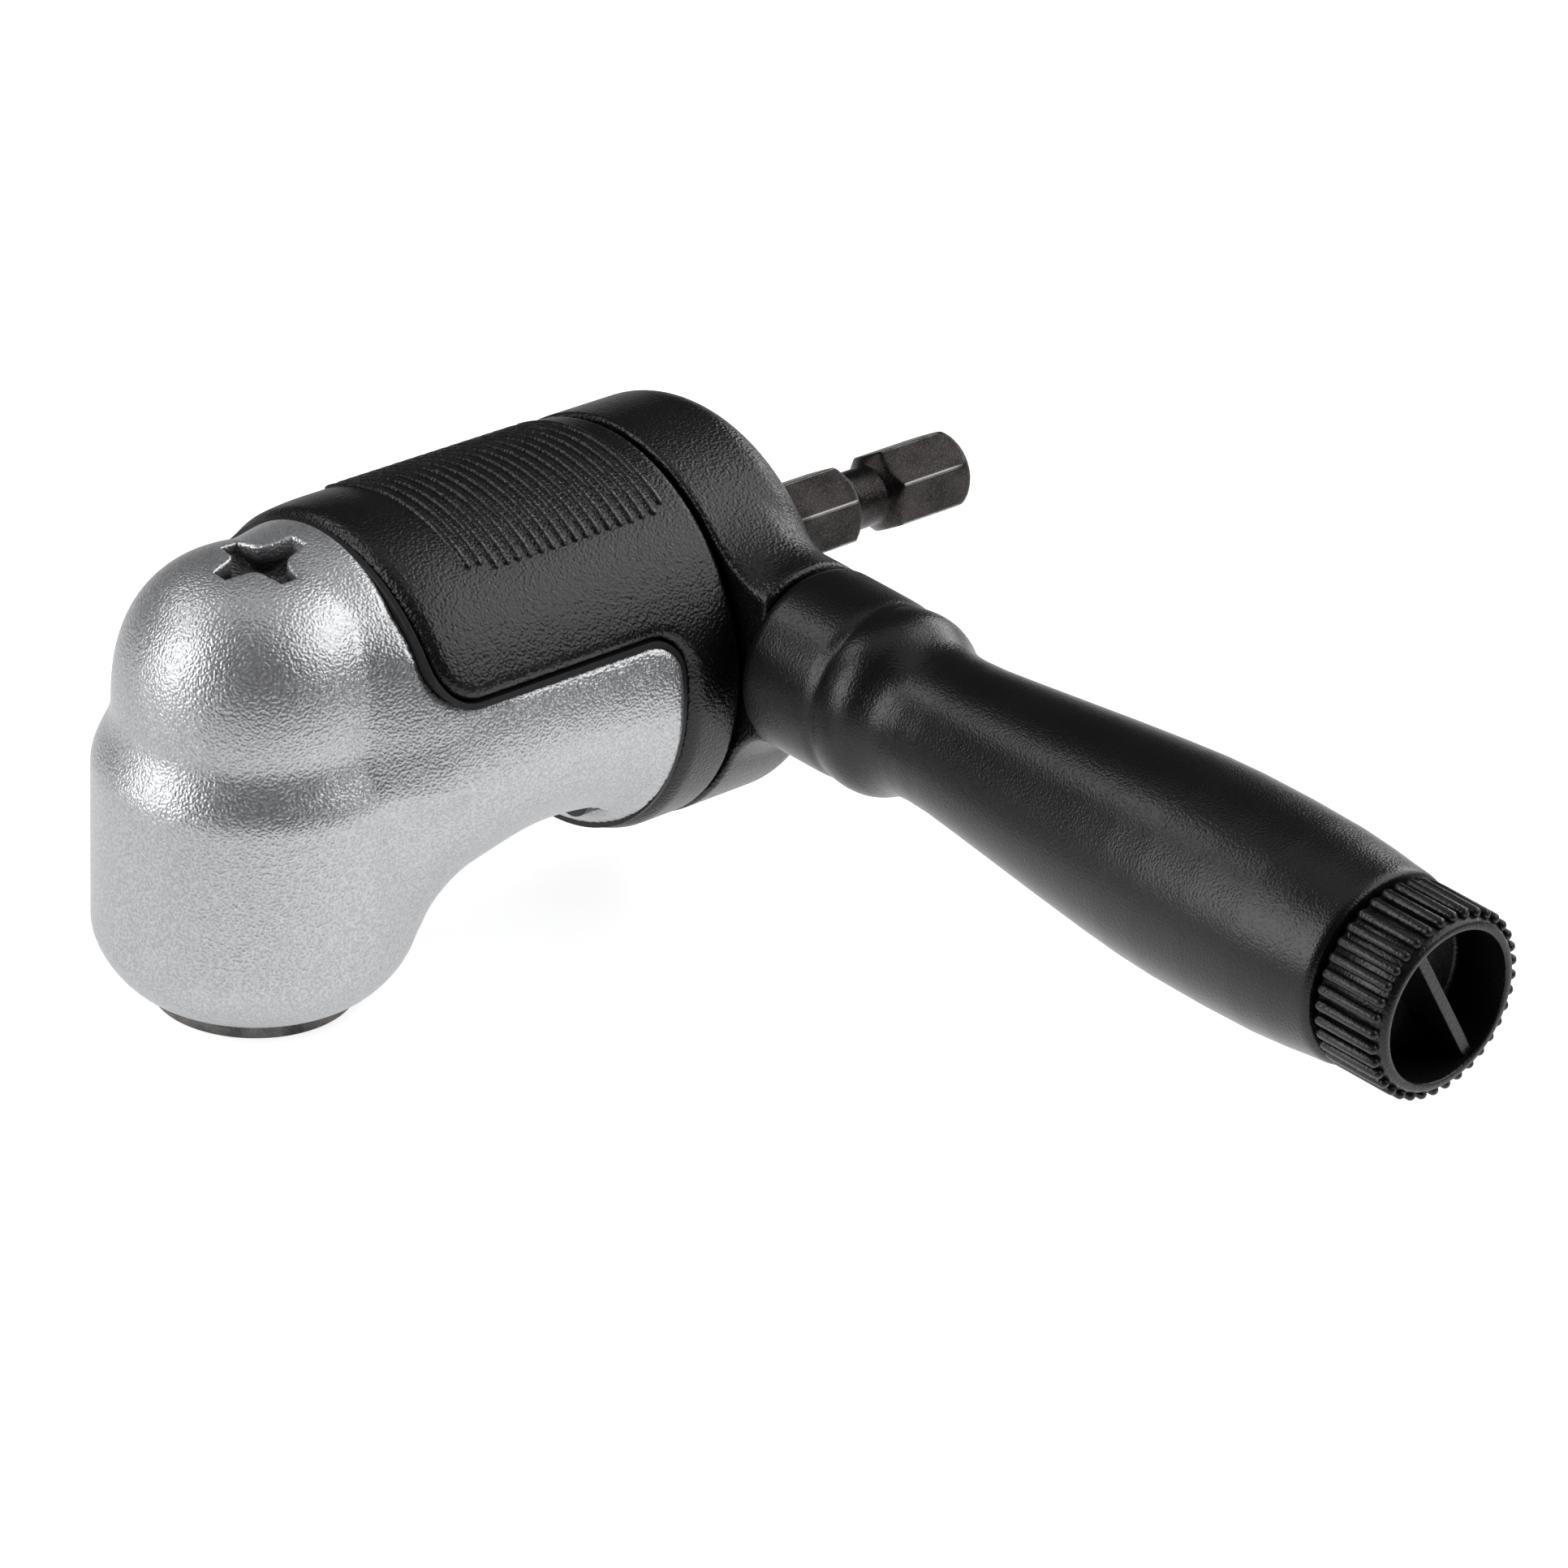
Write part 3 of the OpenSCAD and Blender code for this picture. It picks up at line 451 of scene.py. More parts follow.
class Shop(Bench):
    """One material in the making, with its main shader."""

    def __init__(self, name: str) -> None:
        """Starts a material with one main shader."""
        self.material = bpy.data.materials.new(name)
        self.material.use_nodes = True
        super().__init__(self.material.node_tree)
        self.shader = next(n for n in self.tree.nodes if n.type == "BSDF_PRINCIPLED")

    def place(self) -> Sum:
        """The place on the piece, in metres."""
        return self.node("ShaderNodeTexCoord")[3]

    def place_parts(self) -> list[Sum]:
        """The three numbers of the place on the piece."""
        return self.node("ShaderNodeSeparateXYZ", {0: self.place()})

    def noise(self, size_mm: float, detail: float, rough: float = 0.5) -> Sum:
        """Adds a cloudy pattern.

        Args:
            size_mm: The size of its features.
            detail: How many finer layers it has.
            rough: How strong they are.

        Returns:
            Its value, about 0 to 1.
        """
        scale = 1 / (size_mm * MM)
        values = {"Vector": self.place(), "Scale": scale, "Detail": detail, "Roughness": rough}
        return self.node("ShaderNodeTexNoise", values)[0]

    def pebbles(self, size_mm: float, smooth: float = 0.6) -> Sum:
        """Adds a pattern of soft pebbles of that size, high in their middles."""
        values = {"Vector": self.place(), "Scale": 1 / (size_mm * MM), "Smoothness": smooth}
        return self.node("ShaderNodeTexVoronoi", values, feature="SMOOTH_F1")[0]

    def blend(self, factor: Sum, low: "Sum | Sequence[float]", high: Sequence[float]) -> Sum:
        """Mixes two colours by a factor."""
        values = {0: factor, 6: low if isinstance(low, Sum) else (*low, 1), 7: (*high, 1)}
        return self.node("ShaderNodeMix", values, data_type="RGBA")[2]

    def bump(self, height: Sum, depth_mm: float) -> Sum:
        """Gives the normal of a surface with that height, 0 to 1, on that depth."""
        values = {"Height": height, "Strength": 1.0, "Distance": depth_mm * MM}
        return self.node("ShaderNodeBump", values)[0]

    def finish(self, **values: Any) -> bpy.types.Material:
        """Feeds the main shader, by socket name with _ for a space, and gives the material."""
        for key, value in values.items():
            self.feed(self.shader.inputs[key.replace("_", " ")], value)
        return self.material


@dataclass(frozen=True)
class CastFinish:
    """Light silver lacquer over a sand-grained casting, with painted shade inside the cross hole and painted
    shade and highlight on its grain.
    """

    name: str = "cast_silver"
    # Light and dark ends of the grain's painted highlight and shade.
    light: Triple = (0.68, 0.685, 0.70)
    dark: Triple = (0.39, 0.395, 0.41)
    # Dark grey painted shade for the inside of the cross hole.
    painted_hole_shade: Triple = (0.07, 0.07, 0.072)
    grain_mm: float = 0.21
    painted_sparkle_mm: float = 0.084
    depth_mm: float = 0.08
    roughness: float = 0.30
    hole_z: Pair = (37.0, 35.9)
    hole_r: Pair = (4.2, 3.906)

    def material(self) -> bpy.types.Material:
        """Makes the material."""
        shop = Shop(self.name)
        fine = shop.noise(self.grain_mm, 0.4)
        painted_sparkle = shop.noise(self.painted_sparkle_mm, 1.0)
        # Painted shade and highlight: the colour is darker in the grain's pits and lighter on its peaks, and
        # fine specks add painted glints.
        tint = painted_sparkle.clamped(0.3, 0.7) * 0.5 + fine.clamped(0.35, 0.65) * 0.5
        x, y, z = shop.place_parts()
        # Painted shade: inside the cross hole, below its rim, the colour turns dark grey.
        inside = (x * x + y * y).clamped(*((r * MM) ** 2 for r in self.hole_r))
        inside = inside * z.clamped(*(h * MM for h in self.hole_z))
        colour = shop.blend(inside, shop.blend(tint, self.dark, self.light), self.painted_hole_shade)
        normal = shop.bump(fine, self.depth_mm)
        rough = self.roughness + fine * 0.1
        return shop.finish(Base_Color=colour, Metallic=0.75, Roughness=rough, Normal=normal)


@dataclass(frozen=True)
class MouldedFinish:
    """Black moulded plastic or rubber with a fine grain and a little dust."""

    name: str
    base: Triple
    grain_mm: float
    depth_mm: float
    roughness: float
    gloss: float = 0.45
    dust: Triple = (0.030, 0.030, 0.031)
    dusty: float = 0.1
    cloud_mm: float = 9.0

    def material(self) -> bpy.types.Material:
        """Makes the material."""
        shop = Shop(self.name)
        grain = shop.noise(self.grain_mm, 0.4)
        pebble = shop.pebbles(self.grain_mm * 1.4)
        cloud = shop.noise(self.cloud_mm, 3.0, 0.55)
        tint = cloud.clamped(0.45, 0.8) * self.dusty + grain.clamped(0.55, 0.75) * (self.dusty * 0.4)
        colour = shop.blend(tint, self.base, self.dust)
        normal = shop.bump(grain * 0.6 - pebble * 0.4, self.depth_mm)
        rough = self.roughness + cloud * 0.06
        return shop.finish(Base_Color=colour, Roughness=rough, Normal=normal, Specular_IOR_Level=self.gloss)


@dataclass(frozen=True)
class SteelFinish:
    """Machined or blackened metal, painted light beyond a radius about the shaft where one is given, as
    painted highlight and wear along the hex corners.
    """

    name: str
    base: Triple
    shade: Triple
    roughness: float
    grain_mm: float = 0.3
    depth_mm: float = 0.024
    specks: float = 0.2
    cloud_mm: float = 3.5
    # Painted highlight and wear: the radius beyond which the hex corners turn, in patches, to this light
    # grey.
    edge_highlight_and_wear_r: float = 0.0
    edge_highlight_and_wear: Triple = (0.45, 0.44, 0.43)
    axis_h: float = 24.7

    def material(self) -> bpy.types.Material:
        """Makes the material."""
        shop = Shop(self.name)
        cloud = shop.noise(self.cloud_mm, 4.0, 0.6)
        fine = shop.noise(self.grain_mm, 2.0)
        tint = cloud.clamped(0.35, 0.7) * (1 - self.specks) + fine.clamped(0.5, 0.75) * self.specks
        colour = shop.blend(tint, self.base, self.shade)
        if self.edge_highlight_and_wear_r:
            # Painted highlight and wear: beyond the radius the hex corners turn light grey in patches.
            _, y, z = shop.place_parts()
            high = z - self.axis_h * MM
            inner = self.edge_highlight_and_wear_r * MM
            edge = (y * y + high * high).clamped(inner ** 2, (inner * 1.02) ** 2)
            colour = shop.blend(edge * cloud.clamped(0.3, 0.5), colour, self.edge_highlight_and_wear)
        normal = shop.bump(fine, self.depth_mm)
        rough = self.roughness + cloud * 0.1
        return shop.finish(Base_Color=colour, Metallic=0.95, Roughness=rough, Normal=normal)


@dataclass
class Finishes:
    """Every finish of the tool, made once."""

    cast: CastFinish = CastFinish()
    rubber: MouldedFinish = MouldedFinish("grip_rubber", (0.003, 0.003, 0.0035), 0.21, 0.102, 0.30)
    collar: MouldedFinish = MouldedFinish("collar_nylon", (0.003, 0.003, 0.0035), 0.21, 0.102, 0.30)
    lip: MouldedFinish = MouldedFinish("lip_nylon", (0.006, 0.006, 0.007), 0.3, 0.024, 0.5)
    handle: MouldedFinish = MouldedFinish("handle_nylon", (0.003, 0.003, 0.004), 0.16, 0.039, 0.28, 0.42)
    knob: MouldedFinish = MouldedFinish("knob_nylon", (0.003, 0.003, 0.0035), 0.2, 0.048, 0.30)
    # The shank's hex corners are painted light grey beyond 3.57 mm, as painted highlight and wear.
    shank: SteelFinish = SteelFinish("shank_steel", (0.010, 0.0085, 0.0082), (0.078, 0.070, 0.068), 0.30,
                                     0.14, 0.032, specks=0.6, edge_highlight_and_wear_r=3.57)
    ring: SteelFinish = SteelFinish("ring_steel", (0.05, 0.048, 0.046), (0.24, 0.232, 0.225), 0.24)
    bright: SteelFinish = SteelFinish("ground_steel", (0.58, 0.58, 0.59), (0.70, 0.70, 0.71), 0.24)
    hardened: SteelFinish = SteelFinish("gear_steel", (0.36, 0.36, 0.37), (0.46, 0.455, 0.45), 0.34)
    black: SteelFinish = SteelFinish("black_steel", (0.045, 0.045, 0.047), (0.08, 0.08, 0.082), 0.42)
    bronze: SteelFinish = SteelFinish("oiled_bronze", (0.42, 0.26, 0.11), (0.55, 0.36, 0.17), 0.42)
    brass: SteelFinish = SteelFinish("insert_brass", (0.66, 0.48, 0.20), (0.76, 0.58, 0.28), 0.3)
    nickel: SteelFinish = SteelFinish("magnet_nickel", (0.55, 0.54, 0.52), (0.66, 0.65, 0.62), 0.26)
    made: dict[str, bpy.types.Material] = field(default_factory=dict)

    def get(self, finish: str) -> bpy.types.Material:
        """The material of a finish, by its field's name."""
        if finish not in self.made:
            self.made[finish] = getattr(self, finish).material()
        return self.made[finish]

    def dress(self, piece: bpy.types.Object, finish: str) -> None:
        """Gives a piece one finish."""
        slots = piece.data.materials
        if not slots:
            slots.append(None)
        for n in range(len(slots)):
            slots[n] = self.get(finish)


def seat(piece: bpy.types.Object, material: bpy.types.Material, body: Body, slot: str, *nodes: str) -> None:
    """Seats a piece, and dresses it if its tree hasn't.

    Args:
        piece: The piece.
        material: Its material.
        body: The body that it rides on.
        slot: Name of its material slot; not used.
        nodes: The solids that it stands for.
    """
    if not piece.data.materials:
        piece.data.materials.append(material)
    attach(piece, body.value)
    if nodes:
        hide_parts(*nodes)
    LOG.info("%s: %d faces on %s", piece.name, len(piece.data.polygons), body.value)


# Repeated shapes


class Tree(Bench):
    """A geometry tree that builds a repeated shape from named sizes."""

    def __init__(self, name: str, sizes: dict[str, float]) -> None:
        """Starts a tree with float inputs of those names."""
        super().__init__(bpy.data.node_groups.new(name, "GeometryNodeTree"))
        self.sizes = sizes
        for key in sizes:
            self.tree.interface.new_socket(key, in_out="INPUT", socket_type="NodeSocketFloat")
        self.tree.interface.new_socket("Geometry", in_out="OUTPUT", socket_type="NodeSocketGeometry")
        self.source = dict(zip(sizes, self.node("NodeGroupInput")))
        self.target = self.tree.nodes.new("NodeGroupOutput")

    def lift(self, height: Sum) -> Sum:
        """A vector that stands straight up."""
        return self.node("ShaderNodeCombineXYZ", {"Z": height})[0]

    def bake(self, name: str, geometry: Sum, place: Matrix, material: bpy.types.Material) -> bpy.types.Object:
        """Ends the tree, runs it and keeps its result as a plain mesh.

        Args:
            name: Name of the piece.
            geometry: The last geometry, in millimetres.
            place: Where the shape goes, in metres.
            material: Its material.

        Returns:
            The piece's object.
        """
        real = self.node("GeometryNodeRealizeInstances", {0: geometry})[0]
        dressed = self.node("GeometryNodeSetMaterial", {0: real, "Material": material})[0]
        self.feed(self.target.inputs[0], self.node("GeometryNodeSetShadeSmooth", {0: dressed})[0])
        holder = place_object(name + "_holder", bpy.data.meshes.new(name + "_holder"))
        modifier = holder.modifiers.new("Shape", "NODES")
        modifier.node_group = self.tree
        for item in self.tree.interface.items_tree:
            if item.item_type == "SOCKET" and item.in_out == "INPUT":
                modifier[item.identifier] = float(self.sizes[item.name])
        mesh = bpy.data.meshes.new_from_object(holder.evaluated_get(bpy.context.evaluated_depsgraph_get()))
        bpy.data.objects.remove(holder)
        mesh.name = name
        mesh.transform(place @ Matrix.Scale(MM, 4))
        mesh.update()
        return place_object(name, mesh)


# The tool's sub-assemblies


@dataclass
class Layout:
    """Places that the sub-assemblies share."""

    axis_h: float = 24.7
    body_z: float = 22.0
    neck_len: float = 35.4
    body_r: float = 16.5
    core_r: float = 13.7
    liner_r: float = 14.6
    handle_x: float = 40.0
    lobe_x: float = 6.0
    lobe_r: float = 3.9
    flag_x: float = 29.35
    flag_top: float = 3.0
    flag_r: float = 2.6

    def grip_side(self, d: float) -> Outline:
        """Side view of everything behind the grip's front edge, drawn inset by d."""
        level = self.axis_h + self.flag_top
        lobe, flag = self.lobe_r - d, self.flag_r + d
        back, low, high = self.neck_len + 12, -20.0, 62.0
        points = [(self.lobe_x + d, high)]
        points += arc((self.lobe_x + self.lobe_r, level + self.lobe_r), (lobe, lobe), 180, 270, 12)
        points += arc((self.flag_x - self.flag_r, level - self.flag_r), (flag, flag), 90, 0, 12)
        points += [(self.flag_x + d, low), (back, low), (back, high)]
        return Outline(points)

    def about_body(self, y: Array, z: Array) -> Array:
        """Distance from the body's centre line."""
        return np.hypot(y, z - self.body_z)

    def about_shaft(self, y: Array, z: Array) -> Array:
        """Distance from the input shaft's axis."""
        return np.hypot(y, z - self.axis_h)

    def handle_axis(self) -> Axis:
        """The handle's axis, counted outwards from the drive line."""
        return Axis((self.handle_x, 0, self.axis_h), (0, -1, 0), (0, 0, 1))


@dataclass
class GearHead:
    """The silver casting: dome, barrel, neck and side flags."""

    at: Layout
    dome_r: float = 11.2
    dome_h: float = 12.1
    dome_foot: float = 25.2
    dome_power: float = 2.46
    flare_h: float = 5.2
    flare_steps: int = 14
    barrel_r: float = 12.75
    foot_r: float = 9.0
    foot_h: float = 4.9
    foot_power: float = 1.5
    floor_z: float = 1.6
    inner_r: float = -9.0
    neck_start: float = -6.5
    neck_fillet: float = 7.6
    fillet_start: float = 0.5
    fillet_full_x: float = 8.0
    fillet_z: Pair = (16.0, 37.0)
    fillet_fade: float = 5.0
    fillet_least: float = 0.55
    rim: float = 0.42
    screw_ring: float = 11.9
    screw_turns: Pair = (-54.0, -126.0)
    screw_r: float = 1.27
    screw_x: Pair = (27.0, 40.0)
    pocket_r: float = 3.0
    pocket_x: Pair = (16.6, 27.6)
    pocket_end_r: float = 0.3
    pocket_rim: float = 0.4
    cross_rim: float = 0.16
    cross_reach: float = 3.75
    cross_width: Pair = (0.7, 1.35)
    cross_taper: Pair = (0.24, 1.3)
    cross_joint: float = 0.7
    cross_depth: float = 2.4
    cross_floor: Pair = (0.6, 2.0)
    cross_lean: float = 0.85
    core_hole_r: float = 1.9
    core_hole_depth: float = 5.0
    spindle_rooms: tuple[Triple, ...] = ((8.1, -99, 3.3), (7.5, -99, 12.9), (8.8, 12.8, 27.9),
                                         (3.5, 27.0, 31.9))
    shaft_rooms: tuple[Triple, ...] = ((9.5, 14.0, 19.0), (9.8, 19.0, 99))
    cone_r: float = 6.1
    cone_slope: float = 0.763
    cone_x: Pair = (4.2, 14.0)
    cone_most: float = 9.0
    table_x: Triple = (-9, 44, 0.1)
    table_blur: tuple[int, int] = (25, 8)
    grid: tuple[Triple, Triple] = ((-13.4, -17.2, 1.0), (36.2, 17.2, 39.2))
    grid_fine: tuple[Pair, ...] = ((-4.5, 4.5), (-4.5, 4.5), (32.6, 38.2))
    grid_steps: Pair = (0.43, 0.65)
    stations: tuple[tuple[float, ...], ...] = (
        (-6, .42, .74, .40), (-3, .50, .82, .5), (0, .59, .885, .60), (2.5, .69, .915, .65),
        (5, .78, .935, .74), (7.4, .85, .94, .88), (9.9, .90, .94, .94), (11.9, .93, .94, .90),
        (14, .955, .93, .83), (16.5, .955, .93, .775), (18.4, .955, .93, .75), (20.5, .957, .93, .74),
        (23, .96, .93, .75), (24.8, .963, .93, .77), (26.3, .97, .93, .806), (27.6, .98, .93, .865),
        (28.9, .99, .93, .925), (30.3, .998, .93, .98), (31.5, 1, .93, 1), (35.4, 1, .93, 1))

    def head_outline(self) -> Outline:
        """Half outline of the turned head, as radius and height."""
        points = arc((0, self.dome_foot), (self.dome_r, self.dome_h), 90, 0, 28, self.dome_power)
        for s in np.arange(1, self.flare_steps + 1) / self.flare_steps:
            swell = (self.barrel_r - self.dome_r) * (1 - math.cos(math.pi * s)) / 2
            points.append((self.dome_r + swell, self.dome_foot - self.flare_h * s))
        corner = (self.barrel_r - self.foot_r, self.foot_h)
        points += arc((self.foot_r, self.floor_z + self.foot_h), corner, 0, -90, 12, self.foot_power)
        points += [(self.inner_r, self.floor_z), (self.inner_r, self.dome_foot + self.dome_h)]
        return Outline(points, margin=self.neck_fillet + 0.9)

    def smooth_share(self, x: Array, shares: Array) -> tuple[Array, Array]:
        """A table of places and softened radii along the neck."""
        places = np.arange(*self.table_x)
        return places, softened(np.interp(places, x, shares * self.at.body_r), *self.table_blur)

    def fillet(self, x: Array, z: Array) -> Array:
        """The fillet's radius between head and neck: small inside the head, widest on the neck's sides."""
        s = np.clip(x / self.fillet_full_x, 0, 1)
        low, high = self.fillet_z
        flank = np.clip(np.minimum(high - z, z - low) / self.fillet_fade, self.fillet_least, 1)
        return self.fillet_start + (self.neck_fillet * flank - self.fillet_start) * s * s * (3 - 2 * s)

    def form(self) -> Form:
        """The casting's form."""
        at = self.at
        head = self.head_outline()
        x_places, *shares = np.array(self.stations).T
        side, top, low = (self.smooth_share(x_places, s) for s in shares)
        zone = at.grip_side(0)
        screws = [(math.cos(math.radians(a)), math.sin(math.radians(a))) for a in self.screw_turns]

        def shape(x: Array, y: Array, z: Array) -> Array:
            """Distance to the casting."""
            a = np.interp(x, *side)
            b = np.where(z > at.body_z, np.interp(x, *top), np.interp(x, *low))
            u, v = y / a, (z - at.body_z) / b
            f = np.sqrt(u * u + v * v) + 1e-9
            neck = (f - 1) * f / np.sqrt((u / a) ** 2 + (v / b) ** 2 + 1e-12)
            neck = np.maximum(neck, slab(x, self.neck_start, at.neck_len))
            solid = join_round(head(np.hypot(x, y), z), neck, self.fillet(x, z))
            cutter = np.maximum(zone(x, z), at.core_r - at.about_body(y, z))
            solid = cut_round(solid, cutter, self.rim)
            solid = cut_round(solid, self.cross(x, y, z), self.cross_rim)
            for across, up in screws:
                away = np.hypot(y - self.screw_ring * across, z - (at.body_z + self.screw_ring * up))
                pocket = meet_round(away - self.pocket_r, slab(x, *self.pocket_x), self.pocket_end_r)
                solid = cut_round(solid, pocket, self.pocket_rim)
                solid = np.maximum(solid, -np.maximum(away - self.screw_r, slab(x, *self.screw_x)))
            return np.maximum(solid, -self.chambers(x, y, z))

        return shape

    def cross(self, x: Array, y: Array, z: Array) -> Array:
        """The cored cross hole in the dome."""
        top = self.dome_foot + self.dome_h
        r = np.hypot(x, y)
        (slope, start), (rise, flat_r) = self.cross_taper, self.cross_floor
        arms = []
        for u, v in ((x, y), (y, x)):
            width = np.clip(self.cross_width[1] - slope * (np.abs(u) - start), *self.cross_width)
            arms.append(np.maximum(np.abs(u) - self.cross_reach, np.abs(v) - width))
        floor_z = top - self.cross_depth + rise * np.maximum(r - flat_r, 0)
        star = np.maximum(join_round(*arms, self.cross_joint), (floor_z - z) * self.cross_lean)
        return np.minimum(star, np.maximum(r - self.core_hole_r, top - self.core_hole_depth - z))

    def chambers(self, x: Array, y: Array, z: Array) -> Array:
        """The hollows round the bearings and gears, each as a radius and its two ends."""
        r, rs = np.hypot(x, y), self.at.about_shaft(y, z)
        cone = np.clip(self.cone_r + (x - self.cone_x[0]) * self.cone_slope, 0, self.cone_most)
        rooms = [np.maximum(rs - cone, slab(x, *self.cone_x))]
        rooms += [np.maximum(r - size, slab(z, *ends)) for size, *ends in self.spindle_rooms]
        rooms += [np.maximum(rs - size, slab(x, *ends)) for size, *ends in self.shaft_rooms]
        return np.minimum.reduce(rooms)

    def build(self, finishes: Finishes) -> None:
        """Builds and dresses the casting."""
        piece = Moulder(*self.grid, *self.grid_steps, self.grid_fine).skin("head_casting", self.form())
        seat(piece, finishes.get("cast"), Body.HOUSING, "cast_body", "gear_head")


@dataclass
class GripSleeve:
    """The rubber sleeve with its ribs."""

    at: Layout
    lip: float = 0.45
    edge: float = 1.4
    seam: float = 0.5
    front_drop: float = 0.45
    front_length: float = 5.0
    rear_edge: float = 0.35
    rib_count: int = 18
    rib_pitch: float = 1.13
    rib_back: float = 2.3
    rib_r: float = 0.36
    rib_sink: float = 0.13
    rib_half: float = 35.0
    rib_shorter: float = 2.5
    grid: tuple[Triple, Triple] = ((5.4, -17.2, 5.0), (35.8, 17.2, 39.4))
    grid_steps: Pair = (0.34, 0.6)

    def form(self) -> Form:
        """The sleeve's form without its ribs."""
        at = self.at
        zone = at.grip_side(self.lip)
        end = at.neck_len - self.seam

        def shape(x: Array, y: Array, z: Array) -> Array:
            """Distance to the sleeve."""
            rb = at.about_body(y, z)
            s = np.clip((x - at.lobe_x) / self.front_length, 0, 1)
            outer = rb - (at.body_r - self.front_drop * (1 - s) ** 2)
            skin = meet_round(zone(x, z), outer, self.edge)
            skin = meet_round(skin, x - end, self.rear_edge)
            return np.maximum(skin, at.liner_r - rb)

        return shape

    def rib(self, tree: Tree, half: Sum) -> Sum:
        """One rib as an arc with rounded ends.

        Args:
            tree: The tree that it is made in.
            half: Half its angle in radians.

        Returns:
            Its geometry.
        """
        turns = {"Start Angle": math.pi / 2 - half, "Sweep Angle": half * 2.0}
        sizes = {"Resolution": 48, "Radius": tree.source["Arc radius"], **turns}
        line = tree.node("GeometryNodeCurveArc", sizes, mode="RADIUS")[0]
        reach = (tree.node("GeometryNodeSplineParameter")[0] - 0.5).math("ABSOLUTE") * 2.0
        past = (reach * 30.0 - 29.0).math("MAXIMUM", 0.0)
        taper = (1.0 - past * past).math("MAXIMUM", 0.02).math("SQRT")
        fine = tree.node("GeometryNodeResampleCurve", {"Curve": line, "Count": 72})[0]
        sized = tree.node("GeometryNodeSetCurveRadius", {"Curve": fine, "Radius": taper})[0]
        round_face = {"Resolution": 10, "Radius": tree.source["Rib radius"]}
        ring = tree.node("GeometryNodeCurvePrimitiveCircle", round_face)[0]
        scale = tree.node("GeometryNodeInputRadius")[0]
        swept = {"Curve": sized, "Profile Curve": ring, "Fill Caps": True, "Scale": scale}
        return tree.node("GeometryNodeCurveToMesh", swept)[0]

    def ribs(self, material: bpy.types.Material) -> bpy.types.Object:
        """Lays the ribs across the top, the first and the last two shorter."""
        at = self.at
        tree = Tree("grip_ribs", {"Rib radius": self.rib_r, "Arc radius": at.body_r - self.rib_sink,
                                  "Half angle": math.radians(self.rib_half), "Pitch": self.rib_pitch})
        last = self.rib_count - 1
        ends = (0, last - 1, last)
        rows = []
        for cut, wanted in ((0.0, [n for n in range(last) if n not in ends]), (self.rib_shorter, ends)):
            rib = self.rib(tree, tree.source["Half angle"] - math.radians(cut))
            for n in wanted:
                offset = tree.lift(tree.source["Pitch"] * -float(n))
                rows.append(tree.node("GeometryNodeTransform", {"Geometry": rib, "Translation": offset})[0])
        joined = tree.node("GeometryNodeJoinGeometry", {0: rows[::-1]})[0]
        start = at.neck_len - self.seam - self.rib_back
        turn = Matrix(((0, 0, 1, 0), (1, 0, 0, 0), (0, 1, 0, 0), (0, 0, 0, 1)))
        place = Matrix.Translation((start * MM, 0, at.body_z * MM)) @ turn
        return tree.bake("grip_ribs", joined, place, material)

    def build(self, finishes: Finishes) -> None:
        """Builds and dresses the sleeve and its ribs."""
        piece = Moulder(*self.grid, *self.grid_steps).skin("grip_rubber", self.form())
        rubber = finishes.get("rubber")
        seat(piece, rubber, Body.HOUSING, "grip_rubber", "grip_sleeve")
        seat(self.ribs(rubber), rubber, Body.HOUSING, "grip_rubber")


